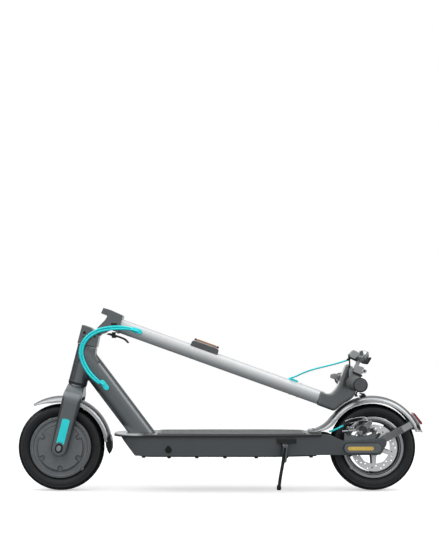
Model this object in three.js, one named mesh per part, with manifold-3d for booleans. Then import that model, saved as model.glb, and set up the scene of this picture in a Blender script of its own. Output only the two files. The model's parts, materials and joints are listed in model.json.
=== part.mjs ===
// Folding electric kick scooter, stored folded. Millimetres, +Z up, the front of the scooter
// towards -X, the rider's left towards -Y. The origin is on the ground below the middle.
import * as THREE from 'three';
import { mergeVertices } from 'three/addons/utils/BufferGeometryUtils.js';
import Module from 'manifold-3d';

const wasm = await Module();
wasm.setup();

// ---- driving dimensions ----
const TYRE_R = 112;
const FRONT = { x: -415, z: 112 };
const REAR = { x: 397.5, z: 112 };
const RIM_R = 79.6;
const LEAN = THREE.MathUtils.degToRad(13.8);
const STEM_TILT = THREE.MathUtils.degToRad(19.75);
const STEM_START = { x: -254.5, z: 424.4 };
const HINGE = { x: -313.8, z: 416.8 };
const BAR = { x: 340.5, z: 281 };
const BAR_HALF = 215;
const TUBE_R = 18.5;
const DECK_TOP = 149.5;
const DECK_UNDER = 91.5;
const FENDER_R = 133;
const SKIRT_DEPTH = 15.5;
const SKIN = 2.6;
const ARM_Y = [44, 50];
const COVER = { x: 365.2, z: 113 };
const CHARGE_PORT = { x: -132.3, z: 110.8 };
const DOWN_TUBE_ANGLE = Math.atan2(199.4, 152.4);
const CASTING_HALF = 24;
const CALIPER_ANGLE = THREE.MathUtils.degToRad(122);
const CABLE_R = 3;
const GAP = 0.3;

const FINISH = {
  grey: ['#54585a', 0.5, 0.4],
  midGrey: ['#7d8386', 0.45, 0.5],
  darkGrey: ['#3c4042', 0.55, 0.3],
  silver: ['#cfd2d4', 0.3, 0.8],
  steel: ['#a9adb0', 0.35, 0.9],
  black: ['#1b1c1e', 0.7, 0.0],
  tyre: ['#26282a', 0.9, 0.0],
  cyan: ['#2ee0ea', 0.5, 0.0],
  amber: ['#e3b850', 0.3, 0.0],
  red: ['#8e2028', 0.3, 0.0],
  copper: ['#8a4a30', 0.25, 0.1],
};

const group = new THREE.Group();
group.name = 'electric_kick_scooter';

// ---- geometry helpers ----
function strip(geometry) {
  const bare = geometry.clone();
  for (const key of ['normal', 'uv']) bare.deleteAttribute(key);
  return bare;
}

function toSolid(geometry) {
  const merged = outward(mergeVertices(strip(geometry), 1e-3));
  const made = new wasm.Manifold(new wasm.Mesh({
    numProp: 3,
    vertProperties: new Float32Array(merged.attributes.position.array),
    triVerts: new Uint32Array(merged.index.array),
  }));
  return made;
}

function toGeometry(solid) {
  const mesh = solid.getMesh();
  const geometry = new THREE.BufferGeometry();
  const vertices = new Float32Array(mesh.vertProperties);
  geometry.setAttribute('position', new THREE.BufferAttribute(vertices, 3));
  geometry.setIndex(new THREE.BufferAttribute(new Uint32Array(mesh.triVerts), 1));
  return geometry;
}

const join = (...parts) => toGeometry(wasm.Manifold.union(parts.map(toSolid)));
const cut = (base, ...tools) => toGeometry(
  toSolid(base).subtract(wasm.Manifold.union(tools.map(toSolid))));
const common = (a, b) => toGeometry(toSolid(a).intersect(toSolid(b)));

function add(name, finish, geometry) {
  const [color, roughness, metalness] = FINISH[finish];
  const material = new THREE.MeshStandardMaterial({ color, roughness, metalness });
  const mesh = new THREE.Mesh(geometry, material);
  mesh.name = name;
  group.add(mesh);
  return mesh;
}

// A polygon with its corners rounded: each point is [a, b] or [a, b, corner radius].
function rounded(points, radius = 0, steps = 2) {
  const out = [];
  const count = points.length;
  points.forEach((p, i) => {
    const here = new THREE.Vector2(p[0], p[1]);
    const back = new THREE.Vector2(...points[(i + count - 1) % count].slice(0, 2)).sub(here);
    const on = new THREE.Vector2(...points[(i + 1) % count].slice(0, 2)).sub(here);
    const r = p[2] ?? radius;
    const reach = Math.min(r, back.length() * 0.48, on.length() * 0.48);
    if (reach < 0.2) {
      out.push(here);
      return;
    }
    const from = here.clone().addScaledVector(back.normalize(), reach);
    const to = here.clone().addScaledVector(on.normalize(), reach);
    const curve = new THREE.QuadraticBezierCurve(from, here, to);
    out.push(...curve.getPoints(steps));
  });
  return out;
}

// A flat outline in X and Z, thickened along Y from y0 to y1.
function plate(points, y0, y1, bevel = 0, holes = []) {
  const shape = new THREE.Shape(points);
  shape.holes = holes.map((hole) => new THREE.Path(hole));
  const geometry = new THREE.ExtrudeGeometry(shape, {
    depth: y1 - y0 - 2 * bevel, bevelEnabled: bevel > 0, bevelSegments: 1, steps: 1,
    bevelSize: bevel, bevelThickness: bevel, bevelOffset: -bevel,
  });
  return geometry.translate(0, 0, bevel).rotateX(Math.PI / 2).translate(0, y1, 0);
}

// A flat outline in X and Y, thickened along Z from z0 to z1.
function slab(points, z0, z1, bevel = 0) {
  const geometry = new THREE.ExtrudeGeometry(new THREE.Shape(points), {
    depth: z1 - z0 - 2 * bevel, bevelEnabled: bevel > 0, bevelSegments: 1, steps: 1,
    bevelSize: bevel, bevelThickness: bevel, bevelOffset: -bevel,
  });
  return geometry.translate(0, 0, z0 + bevel);
}

function circle(r, count, x = 0, z = 0, start = 0) {
  return Array.from({ length: count }, (_, i) => {
    const a = start + (i / count) * 2 * Math.PI;
    return new THREE.Vector2(x + r * Math.cos(a), z + r * Math.sin(a));
  });
}

function stadium(length, width, count = 6) {
  const r = width / 2;
  const half = length / 2 - r;
  const out = [];
  for (let i = 0; i <= count; i += 1) {
    const a = -Math.PI / 2 + (i / count) * Math.PI;
    out.push(new THREE.Vector2(half + r * Math.cos(a), r * Math.sin(a)));
  }
  for (let i = 0; i <= count; i += 1) {
    const a = Math.PI / 2 + (i / count) * Math.PI;
    out.push(new THREE.Vector2(-half + r * Math.cos(a), r * Math.sin(a)));
  }
  return out;
}

const rod = (r, y0, y1, x, z, count = 20) => plate(circle(r, count, x, z), y0, y1);
const post = (r, z0, z1, count = 24) => slab(circle(r, count), z0, z1);
const turned = (profile, count = 48) => outward(mergeVertices(strip(new THREE.LatheGeometry(
  profile.map((p) => new THREE.Vector2(p[0], p[1])), count)), 1e-3));
const brick = (x0, x1, y0, y1, z0, z1) => new THREE.BoxGeometry(x1 - x0, y1 - y0, z1 - z0)
  .translate((x0 + x1) / 2, (y0 + y1) / 2, (z0 + z1) / 2);

// The steering frame: local Z runs up the steering axis from the front axle.
const leaned = (geometry) => geometry.rotateY(LEAN).translate(FRONT.x, 0, FRONT.z);
// The stem frame: local X runs along the folded stem from the collar to the handlebar.
const along = (geometry) => geometry.rotateY(STEM_TILT).translate(STEM_START.x, 0, STEM_START.z);
// The handlebar frame: local X is what points up when the stem stands, local Z points ahead.
const atBar = (geometry) => geometry.rotateY(STEM_TILT).translate(BAR.x, 0, BAR.z);

// A closed sheet between two grids of points, rows along it and columns across it.
function sheet(outer, inner) {
  const rows = outer.length;
  const cols = outer[0].length;
  const positions = [];
  for (const grid of [outer, inner]) for (const row of grid) for (const p of row) positions.push(...p);
  const at = (side, i, j) => side * rows * cols + i * cols + j;
  const index = [];
  const quad = (a, b, c, d) => index.push(a, b, c, a, c, d);
  for (let i = 0; i + 1 < rows; i += 1) {
    for (let j = 0; j + 1 < cols; j += 1) {
      quad(at(0, i, j), at(0, i + 1, j), at(0, i + 1, j + 1), at(0, i, j + 1));
      quad(at(1, i, j), at(1, i, j + 1), at(1, i + 1, j + 1), at(1, i + 1, j));
    }
    quad(at(0, i + 1, 0), at(0, i, 0), at(1, i, 0), at(1, i + 1, 0));
    quad(at(0, i, cols - 1), at(0, i + 1, cols - 1), at(1, i + 1, cols - 1), at(1, i, cols - 1));
  }
  for (let j = 0; j + 1 < cols; j += 1) {
    quad(at(0, 0, j), at(0, 0, j + 1), at(1, 0, j + 1), at(1, 0, j));
    quad(at(0, rows - 1, j + 1), at(0, rows - 1, j), at(1, rows - 1, j), at(1, rows - 1, j + 1));
  }
  const geometry = new THREE.BufferGeometry();
  geometry.setAttribute('position', new THREE.Float32BufferAttribute(positions, 3));
  geometry.setIndex(index);
  return outward(geometry);
}

// Turns every face over when the closed surface encloses a negative volume.
function outward(geometry) {
  const p = geometry.attributes.position;
  const index = geometry.index.array;
  const [a, b, c] = [new THREE.Vector3(), new THREE.Vector3(), new THREE.Vector3()];
  let volume = 0;
  for (let i = 0; i < index.length; i += 3) {
    a.fromBufferAttribute(p, index[i]);
    b.fromBufferAttribute(p, index[i + 1]);
    c.fromBufferAttribute(p, index[i + 2]);
    volume += a.dot(b.cross(c));
  }
  if (volume < 0) {
    for (let i = 0; i < index.length; i += 3) {
      [index[i + 1], index[i + 2]] = [index[i + 2], index[i + 1]];
    }
  }
  return geometry;
}

// A round cable of radius r through the given points.
function cable(points, r, steps, sides = 8) {
  const path = new THREE.CatmullRomCurve3(points.map((p) => new THREE.Vector3(...p)));
  const section = new THREE.Shape(circle(r, sides));
  return new THREE.ExtrudeGeometry(section, { steps, extrudePath: path, bevelEnabled: false });
}

// ---- wheels ----
function tyre() {
  const half = [[80, 0], [80, 15], [84, 20.5], [92, 24.6], [100, 24], [107, 19], [TYRE_R, 7]];
  const lower = half.slice(1).map(([r, y]) => [r, -y]).reverse();
  return turned([[80, -15], ...half.slice(1).map(([r, y]) => [r, y]), ...lower], 48);
}

function hubMotor() {
  const side = [[6.4, 24], [61, 24], [63, 21], [70, 21], [72, 23.5], [77.5, 23.5], [RIM_R, 21]];
  const other = side.map(([r, y]) => [r, -y]).reverse();
  return turned([...side, ...other, side[0]], 40);
}

function motorCover() {
  const notches = 6;
  const points = [];
  for (let k = 0; k < notches; k += 1) {
    const middle = Math.PI / 6 + (k * 2 * Math.PI) / notches;
    for (let i = 0; i <= 4; i += 1) {
      const a = middle - Math.PI / notches + 0.16 + (i / 4) * ((2 * Math.PI) / notches - 0.32);
      const turn = a - Math.PI / notches;
      points.push(new THREE.Vector2(58 * Math.cos(turn), 58 * Math.sin(turn)));
    }
    const cx = 52.5 * Math.cos(middle);
    const cz = 52.5 * Math.sin(middle);
    for (let i = 0; i <= 4; i += 1) {
      const a = middle - 1.25 - (i / 4) * (2 * Math.PI - 2.5);
      points.push(new THREE.Vector2(cx + 6.5 * Math.cos(a), cz + 6.5 * Math.sin(a)));
    }
  }
  return plate(points, -27.5, -24.3, 0, [circle(9, 16)]);
}

function rearRim() {
  const side = [[6.4, 20], [16, 20], [16, 6], [60, 6], [65, 19], [72, 20], [73, 22.5], [RIM_R, 21]];
  const other = side.map(([r, y]) => [r, -y]).reverse();
  const wheel = turned([...side, ...other, side[0]], 40);
  const windows = [];
  for (let k = 0; k < 6; k += 1) {
    const a = (k * Math.PI) / 3;
    const corners = [[24, -0.28], [24, 0.28], [56, 0.4], [58, 0], [56, -0.4]];
    const shape = corners.map(([r, d]) => new THREE.Vector2(r * Math.cos(a + d), r * Math.sin(a + d)));
    windows.push(plate(shape, -8, 8));
  }
  return cut(wheel, ...windows);
}

function brakeRotor() {
  const holes = [circle(8, 12)];
  for (let k = 0; k < 12; k += 1) {
    const a = (k / 12) * 2 * Math.PI;
    const r = k % 2 ? 53.5 : 49.5;
    holes.push(circle(2.2, 6, r * Math.cos(a), r * Math.sin(a)));
  }
  for (let k = 0; k < 5; k += 1) {
    const a = Math.PI / 2 + ((k + 0.5) * 2 * Math.PI) / 5;
    const corners = [[20, -0.3], [20, 0.3], [43, 0.48], [44, 0], [43, -0.48]];
    holes.push(corners.map(([r, d]) => new THREE.Vector2(r * Math.cos(a + d), r * Math.sin(a + d))));
  }
  return plate(circle(60, 40), -34, -32, 0, holes);
}

function wheels() {
  const atFront = (geometry) => geometry.translate(FRONT.x, 0, FRONT.z);
  const atRear = (geometry) => geometry.translate(REAR.x, 0, REAR.z);
  add('front_tyre', 'tyre', atFront(tyre()));
  add('hub_motor', 'midGrey', atFront(hubMotor()));
  add('motor_cover', 'midGrey', atFront(motorCover()));
  const cap = plate(rounded([[-7, -9], [7, -9], [7, 9], [-7, 9]], 6.9), 0, 4).rotateY(LEAN);
  const caps = [cap.clone().translate(0, -55.5, 0), cap.clone().translate(0, 51.5, 0)];
  add('front_axle', 'steel', atFront(join(rod(6, -52, 52, 0, 0, 16), ...caps)));
  add('rear_tyre', 'tyre', atRear(tyre()));
  add('rear_rim', 'darkGrey', atRear(join(rearRim(), cut(rod(15, -31.6, -19, 0, 0, 24),
    rod(6.4, -40, 0, 0, 0, 48)))));
  add('brake_rotor', 'silver', atRear(brakeRotor()));
  const nut = plate(circle(8.5, 6), 0, 3.6);
  const nuts = [nut.clone().translate(0, -54, 0), nut.clone().translate(0, 50.4, 0)];
  add('rear_axle', 'steel', atRear(join(rod(6, -53, 53, 0, 0, 16), ...nuts)));
}

// ---- fork, steering and front fender ----
// A blade seen from the side: round at the axle, widest at the shoulder.
function bladeSide() {
  const round = Array.from({ length: 11 }, (_, i) => {
    const a = Math.PI * (1 + i / 10);
    return new THREE.Vector2(21 * Math.cos(a), 21 * Math.sin(a));
  });
  const edge = [[22.4, 45], [23.8, 75], [24.6, 100], [24.8, 122], [24, 142], [22.4, 154], [21.6, 166]];
  const ahead = edge.map(([p, s]) => new THREE.Vector2(p, s));
  const behind = edge.map(([p, s]) => new THREE.Vector2(-p, s)).reverse();
  return [...round, ...ahead, ...behind];
}

function fork() {
  const front = [[0, 165], [22, 165, 4], [30, 158, 8], [42, 146, 8], [50, 126, 12], [50.5, 60],
    [50.5, -22], [35, -22], [35, 122, 6], [31, 137, 6], [0, 138]];
  const half = rounded(front, 0, 4);
  const mirrored = half.map((p) => new THREE.Vector2(-p.x, p.y)).reverse();
  const outline = [...half.filter((p) => p.x > 0.01), ...mirrored.filter((p) => p.x < -0.01)];
  const shape = new THREE.ExtrudeGeometry(new THREE.Shape(outline), { depth: 80, bevelEnabled: false });
  shape.translate(0, 0, -40).rotateX(Math.PI / 2).rotateZ(Math.PI / 2);
  const blades = common(shape, plate(bladeSide(), -60, 60));
  const collar = post(23, 163, 171.6, 28);
  const steerer = post(14, 160, 297, 24);
  const insert = plate(rounded([[-10.6, 12], [10.6, 12], [10.6, 77.6], [-10.6, 77.6]], 5), -3.2, 3);
  return leaned(cut(join(blades, collar, steerer), rod(6.3, -60, 60, 0, 0, 16),
    insert.clone().translate(0, -50.5, 0), insert.clone().translate(0, 50.7, 0)));
}

function forkInsert(y0, y1) {
  return leaned(plate(rounded([[-10.3, 12.3], [10.3, 12.3], [10.3, 77.3], [-10.3, 77.3]], 5), y0, y1));
}

function foldBase() {
  const body = plate(rounded([[-361.3, 430.6], [-338.6, 423.2], [-317.2, 403.6], [-323.8, 370.6],
    [-373.6, 382.8]], 0), -23, 23, 4);
  const neck = plate(rounded([[-329, 414], [-323.6, 418.6], [-308, 408.8], [-315, 401.6], [-323, 401]], 0),
    -10.8, 10.8);
  const lug = join(rod(9.8, -10.8, 10.8, HINGE.x, HINGE.z, 20), neck);
  const notch = brick(-380, -349.5, -11.4, 11.4, 408, 440);
  return cut(join(body, lug), rod(4.3, -30, 30, HINGE.x, HINGE.z, 16), notch,
    leaned(post(14.3, 268, 297.5, 24)));
}

function hingePin() {
  return rod(4, -24.4, 24.4, HINGE.x, HINGE.z, 16);
}

// A fender's curved skin. A station is [x, z, the angle its crown faces, depth of its sides].
function fenderSheet(stations, halfWidth, thick) {
  const across = [-1, -0.92, -0.6, 0, 0.6, 0.92, 1];
  const drop = [1, 0.42, 0.1, 0, 0.1, 0.42, 1];
  const grid = (inset) => stations.map(([x, z, normal, depth]) => across.map((share, j) => {
    const onRim = Math.abs(share) === 1;
    const sink = depth * drop[j] + (onRim ? 0 : inset);
    const width = halfWidth - (Math.abs(share) > 0.9 ? inset : 0);
    return [x - sink * Math.cos(normal), share * width, z - sink * Math.sin(normal)];
  }));
  return sheet(grid(0), grid(thick));
}

function arcStations(centre, radius, fromDeg, toDeg, count, depth) {
  return Array.from({ length: count }, (_, i) => {
    const t = i / (count - 1);
    const a = THREE.MathUtils.degToRad(fromDeg + t * (toDeg - fromDeg));
    return [centre.x + radius * Math.cos(a), centre.z + radius * Math.sin(a), a, depth(t)];
  });
}

function arcPoints(radius, fromDeg, toDeg, count) {
  return arcStations(REAR, radius, fromDeg, toDeg, count, () => 0)
    .map(([x, z]) => new THREE.Vector2(x, z));
}

function frontFender() {
  const depth = (t) => SKIRT_DEPTH - 9 * Math.max(0, t - 0.85) / 0.15;
  const stations = arcStations(FRONT, FENDER_R, -2, 121, 15, depth);
  const [tipX, tipZ, tipNormal] = stations[stations.length - 1];
  stations.push([tipX - 1.6, tipZ - 0.4, tipNormal, 3.4]);
  return fenderSheet(stations, 30, SKIN);
}

function mudflap() {
  const at = (r, deg) => {
    const a = THREE.MathUtils.degToRad(deg);
    return [FRONT.x + r * Math.cos(a), FRONT.z + r * Math.sin(a)];
  };
  const points = [at(132, -2.6), at(134.5, 6), at(136.4, 10), at(136.4, 0), at(134, -9), at(129, -9),
    at(119, -2.6)];
  const flap = plate(rounded(points, 0), -24, 24);
  const inside = arcStations(FRONT, FENDER_R + 0.5, -2.3, 20, 8, () => 0)
    .map(([x, z]) => new THREE.Vector2(x, z));
  inside.push(new THREE.Vector2(...at(100, 20)), new THREE.Vector2(...at(100, -2.3)));
  return cut(flap, plate(inside, -40, 40));
}

function steeringParts() {
  add('fork', 'midGrey', fork());
  add('fork_insert_left', 'cyan', forkInsert(-51.2, -47.5));
  add('fork_insert_right', 'cyan', forkInsert(48.0, 51.2));
  add('fold_base', 'darkGrey', foldBase());
  add('hinge_pin', 'steel', hingePin());
  add('front_fender', 'silver', frontFender());
  add('mudflap', 'black', mudflap());
}

// ---- main frame and deck ----
function mainFrame() {
  const head = leaned(post(24.5, 172.2, 271.8, 28));
  const section = new THREE.Shape(rounded([[-25.5, -29], [25.5, -29], [25.5, 29], [-25.5, 29]], 15, 4));
  const tube = new THREE.ExtrudeGeometry(section, { depth: 300, bevelEnabled: false })
    .rotateY(Math.PI / 2 + DOWN_TUBE_ANGLE).translate(-352, 0, 341);
  const gusset = plate(rounded([[-350, 376.8], [-324.4, 370.2], [-328, 352], [-316, 335],
    [-345, 300]], 0), -23.5, 23.5, 4);
  const below = brick(-500, 200, -80, 80, -100, DECK_TOP + GAP);
  const bore = leaned(post(18.4, 100, 400, 24));
  const ahead = leaned(brick(-60, -8, -60, 60, 100, 400));
  return cut(join(head, cut(join(tube, gusset), ahead)), below, bore,
    leaned(brick(-60, 60, -60, 60, 271.8, 330)), leaned(brick(-60, 30, -60, 60, 120, 172.2)));
}

function headsetBearings() {
  return leaned(cut(post(18.1, 172.6, 271.4, 24), post(14.3, 160, 280, 24)));
}

const DECK_PLAN = [[-277, -22, 14], [-256, -56, 24], [-206, -75, 40], [150, -75, 30], [262, -54, 8],
  [262, 54, 8], [150, 75, 30], [-206, 75, 40], [-256, 56, 24], [-277, 22, 14]];
const TRAY_PLAN = [[-256, -52, 20], [-200, -71, 40], [150, -71, 30], [262, -50, 0], [262, 50, 0],
  [150, 71, 30], [-200, 71, 40], [-256, 52, 20]];
const INNER_PLAN = [[-250, -50, 20], [-196, -67, 40], [150, -67, 30], [258, -46.5, 0], [258, 46.5, 0],
  [150, 67, 30], [-196, 67, 40], [-250, 50, 20]];

function rearArm(y0, y1) {
  const points = [[250, DECK_UNDER], [402, DECK_UNDER, 10], [413, 96, 6], [421, 111, 4], [427, 119, 4],
    [429, 128, 5], [424, 137, 6], [415, 139.5, 5], [405, 137, 4], [397, 134, 4], [322, 130, 8],
    [300, 138, 8], [282, 147, 8], [250, 147.5]];
  return cut(plate(rounded(points, 0, 3), y0, y1, 1), rod(6.2, -70, 70, REAR.x, REAR.z, 16));
}

function deckTray() {
  const side = [[-254.5, 140], [-215.5, DECK_UNDER], [262, DECK_UNDER], [262, 147], [-254.5, 147]];
  const inside = [[-246, 136], [-210.5, 80], [258, 80], [258, 140], [-246, 140]];
  const shell = cut(
    common(slab(rounded(TRAY_PLAN, 0), 60, 147), plate(rounded(side, 0), -90, 90)),
    common(slab(rounded(INNER_PLAN, 0), 60, 140), plate(rounded(inside, 0), -90, 90)));
  const top = slab(rounded(DECK_PLAN, 0, 4), 140, DECK_TOP, 2);
  const socket = rod(7, -80, -60, CHARGE_PORT.x, CHARGE_PORT.z, 16);
  return cut(join(shell, top, rearArm(ARM_Y[0], ARM_Y[1]), rearArm(-ARM_Y[1], -ARM_Y[0])), socket);
}

function frameParts() {
  add('main_frame', 'grey', mainFrame());
  add('headset_bearings', 'steel', headsetBearings());
  add('deck_tray', 'grey', deckTray());
  const mat = [[-162, -62, 14], [-20, -70, 10], [150, -70, 20], [222, -56, 12], [222, 56, 12],
    [150, 70, 20], [-20, 70, 10], [-162, 62, 14]];
  add('deck_mat', 'black', slab(rounded(mat, 0), DECK_TOP + GAP, 152, 0.6));
  const cover = [[-208, -52, 18], [-180, -66, 10], [150, -66, 20], [248, -47, 6], [248, 47, 6],
    [150, 66, 20], [-180, 66, 10], [-208, 52, 18]];
  add('bottom_cover', 'black', slab(rounded(cover, 0), 87.6, DECK_UNDER - GAP));
  add('battery_pack', 'black', brick(-150, 160, -52, 52, 94, 130));
  add('controller', 'steel', brick(168, 232, -36, 36, 96, 128));
}

// ---- rear end ----
function rearFender() {
  const station = ([x, z, deg, depth]) => [x, z, THREE.MathUtils.degToRad(deg), depth];
  const tail = [[526.5, 153.4, 24, 3], [524.9, 158.4, 26, 9]].map(station);
  const arc = arcStations(REAR, FENDER_R, 20, 141, 14, () => SKIRT_DEPTH);
  const apron = [[289, 190.6, 140, 15], [279, 178.8, 135, 14.5], [268, 170, 122, 12],
    [256, 163.4, 112, 8.5], [243, 158.4, 105, 5.5], [231, 155.8, 94, 3.4]].map(station);
  const skin = fenderSheet([...tail, ...arc, ...apron], 32, SKIN);
  const lampSeat = plate(rounded([[496, 196], [501.4, 196.6], [520.4, 169.6], [524, 158], [516, 160],
    [504, 175]], 0), -14, 14);
  const foot = brick(232, 262, -26, 26, DECK_TOP + GAP, 157);
  const wheelSpace = plate(arcPoints(129.5, 0, 360, 60), -60, 60);
  return join(skin, cut(lampSeat, wheelSpace), cut(foot, wheelSpace));
}

function tailLight() {
  const lens = rounded([[502.4, 199.2], [506, 201.5], [526.2, 176.5], [527, 171], [523, 170]], 1.2, 2);
  return plate(lens, -17, 17, 1);
}

function fenderStay() {
  const leg = (y0, y1) => plate(rounded([[407.5, 133, 4], [411, 123, 5], [421, 124, 5], [498, 165.5, 2],
    [489.5, 181, 2], [414, 140.5, 5]], 0), y0, y1);
  const band = (r) => arcPoints(r, 28.8, 35.8, 6);
  const bridge = plate([...band(116.9), ...band(113.8).reverse()], -43.4, 43.4);
  const tyreSpace = plate(circle(113.8, 48, REAR.x, REAR.z), -38.8, 38.8);
  const past = plate(circle(160, 48, REAR.x, REAR.z), -60, 60);
  const ring = cut(past, plate(circle(116.9, 48, REAR.x, REAR.z), -70, 70));
  return cut(join(leg(-43.4, -39), leg(39, 43.4), bridge), tyreSpace, ring);
}

function mirrorY(geometry) {
  return toGeometry(toSolid(geometry).mirror([0, 1, 0]));
}

function sideCover() {
  const body = plate(stadium(95, 24.8, 8), 0, 9.4, 1.5).translate(COVER.x, 0, COVER.z);
  const pocket = plate(stadium(69.6, 13, 8), -1, 3.2).translate(COVER.x - 4.8, 0, COVER.z - 0.4);
  const nut = rod(10.5, 4.6, 12, REAR.x, REAR.z, 20);
  return cut(body, pocket, nut).translate(0, -59.8, 0);
}

function sideReflector() {
  return plate(stadium(69, 12.4, 8), 0.2, 2.8, 0.8).translate(COVER.x - 4.8, -59.8, COVER.z - 0.4);
}

function caliperBody() {
  const body = plate(rounded([[44, -17], [70, -15], [70, 15], [44, 17]], 4), -46, -25, 2);
  const slot = plate(rounded([[30, -40], [62.5, -40], [62.5, 40], [30, 40]], 0), -36.2, -29.8);
  return cut(body, slot).rotateY(-CALIPER_ANGLE).translate(REAR.x, 0, REAR.z);
}

function brakeParts() {
  const bracket = [[319.5, 124], [319.5, 150, 2], [336, 147, 4], [346, 133, 6], [368, 131, 6],
    [392, 146, 6], [402, 158, 3], [404.5, 157.5, 2], [401, 138, 2], [399, 124]];
  add('caliper_bracket', 'grey', plate(rounded(bracket, 0), -43.4, -39));
  add('caliper_body', 'midGrey', caliperBody());
  const arm = rounded([[356, 146, 5], [366, 147, 5], [397.5, 173.5, 3], [392.5, 181, 3], [359, 158.5, 5],
    [353.5, 152, 4]], 0);
  add('caliper_arm', 'silver', join(plate(arm, -51, -47.6), rod(4.5, -53.5, -46.4, 361, 152, 12)));
  add('rear_brake_cable', 'cyan', cable([[283, -30, 154], [290, -36, 156.5], [300, -42, 161],
    [312, -46, 167.5], [319, -48, 171.5]], CABLE_R, 14));
}

function rearParts() {
  add('rear_fender', 'silver', rearFender());
  add('tail_light', 'red', tailLight());
  add('fender_stay', 'midGrey', fenderStay());
  add('fender_catch', 'black', fenderCatch());
  brakeParts();
  add('side_cover_left', 'grey', sideCover());
  add('side_cover_right', 'grey', mirrorY(sideCover()));
  add('side_reflector_left', 'amber', sideReflector());
  add('side_reflector_right', 'amber', mirrorY(sideReflector()));
}

function fenderCatch() {
  const band = (r) => arcPoints(r, 97, 103.6, 5);
  const pad = plate([...band(136.6), ...band(133.4).reverse()], -11, 11);
  const lip = plate(rounded([[371, 243.5], [379, 244.5], [379, 250.6], [365.8, 251.8], [365.8, 249],
    [371, 248]], 0), -7, 7);
  return join(pad, lip);
}

function kickstandParts() {
  const base = brick(146, 193, -76, -71.4, 112, 138.6);
  const block = plate(rounded([[156, 99], [180, 104], [180, 130], [156, 130]], 3), -84, -75, 1);
  add('kickstand_bracket', 'darkGrey', join(base, block));
  const leg = cable([[168, -90, 118], [166, -90.4, 100], [163, -93.4, 78], [158, -104, 40],
    [153.8, -113, 8]], 4.6, 7, 8);
  const thick = plate(rounded([[160.5, 126], [175, 126], [171, 80], [158.5, 80]], 5), -93.4, -84.4, 2);
  const foot = new THREE.SphereGeometry(7, 12, 8).translate(153.6, -113.4, 7);
  add('kickstand_leg', 'steel', join(leg, thick, foot));
}

function chargeCap() {
  const { x, z } = CHARGE_PORT;
  const cap = rod(7.6, -74.4, -71.4, x, z, 24);
  const plug = rod(5.6, -72, -70, x, z, 16);
  const tab = brick(x - 3.7, x + 3.7, -73.6, -71.4, z + 3.2, z + 10.2);
  return join(cap, tab, plug);
}

// ---- folded stem ----
function stemFoot() {
  const block = rounded([[-307.5, 475], [-313.6, 460.6], [-297, 454], [-299.5, 444.5], [-320.6, 423.4],
    [-323.6, 415.4], [-318.6, 408], [-309, 406.6], [-300, 410.4], [-291, 417], [-280, 417],
    [-267.5, 406], [-254.4, 454], [-290, 470]], 0);
  const body = plate(block, -CASTING_HALF, CASTING_HALF, 2.2);
  const ear = brick(-330, -293.8, 10.4, 30, 449, 480);
  const knuckle = rod(16.6, -11.4, 11.4, HINGE.x, HINGE.z, 24);
  const bore = along(new THREE.CylinderGeometry(TUBE_R + GAP, TUBE_R + GAP, 120, 32)
    .rotateZ(Math.PI / 2).translate(30, 0, 0));
  return cut(body, ear, mirrorY(ear), knuckle, bore, rod(4.3, -30, 30, HINGE.x, HINGE.z, 16));
}

function stemTube() {
  const wall = (r, x0, x1) => new THREE.CylinderGeometry(r, r, x1 - x0, 36).rotateZ(Math.PI / 2)
    .translate((x0 + x1) / 2, 0, 0);
  return along(cut(wall(TUBE_R, -29.4, 556), wall(TUBE_R - 2.5, -40, 600)));
}

function foldLever() {
  const shape = rounded([[-299.5, 405.4], [-292, 409], [-262, 399.6, 8], [-248, 393.6, 6],
    [-240, 383], [-243.4, 382], [-251, 390, 6], [-264, 395.6, 8], [-292, 403]], 0);
  return plate(shape, -14, 14);
}

function stemHead() {
  const arc = arcPoints(135.6, 133, 116, 7).map((p) => [p.x, p.y]);
  const outline = rounded([[250.2, 222], [296, 205], ...arc, [347, 241], [352.5, 250],
    [356, 262], [356, 284], [350.5, 301], [342.5, 319], [338.5, 326], [333.5, 329],
    [328.6, 325], [326.2, 318], [321.3, 307, 6], [307, 268, 12], [291.7, 251.5, 8],
    [279.5, 249, 6], [261.8, 258]], 0, 2);
  const body = plate(outline, -CASTING_HALF, CASTING_HALF, 3);
  const bore = along(new THREE.CylinderGeometry(TUBE_R + GAP, TUBE_R + GAP, 60, 32)
    .rotateZ(Math.PI / 2).translate(526.6, 0, 0));
  const button = new THREE.CylinderGeometry(6, 6, 10, 20).rotateZ(Math.PI / 2).translate(356, 0, 263.5);
  return cut(body, bore, rod(11.3, -40, 40, BAR.x, BAR.z, 28), button);
}

function grip(side) {
  const profile = [[11.3, 92], [20, 92], [20, 97], [15.5, 100], [15.5, 206], [18, 208], [18, 212],
    [14.6, BAR_HALF], [0, BAR_HALF], [0, 212.3], [11.3, 212.3], [11.3, 92]];
  const placed = turned(profile, 20).translate(BAR.x, 0, BAR.z);
  return side > 0 ? placed : mirrorY(placed);
}

function brakePerch() {
  const ring = plate(circle(17, 20), -90, -72);
  const block = plate(rounded([[-12, 10], [12, 10], [12, 47], [-12, 47]], 2), -90, -70);
  const neck = plate(rounded([[-12, 40], [4, 40], [4, 60], [-26, 60]], 2), -88, -72);
  const nose = plate(rounded([[-36, 56], [2, 56], [2, 82], [-30, 82]], 7), -90, -68);
  const lever = plate(rounded([[-27, 55], [-7, 55], [-7, 73], [-27, 73]], 0), -95, -83.4);
  const bolt = plate(circle(5, 12, 16, 30), -84, -76);
  return atBar(cut(join(ring, block, neck, nose, bolt), plate(circle(11.3, 20), -120, 0), lever));
}

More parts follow.
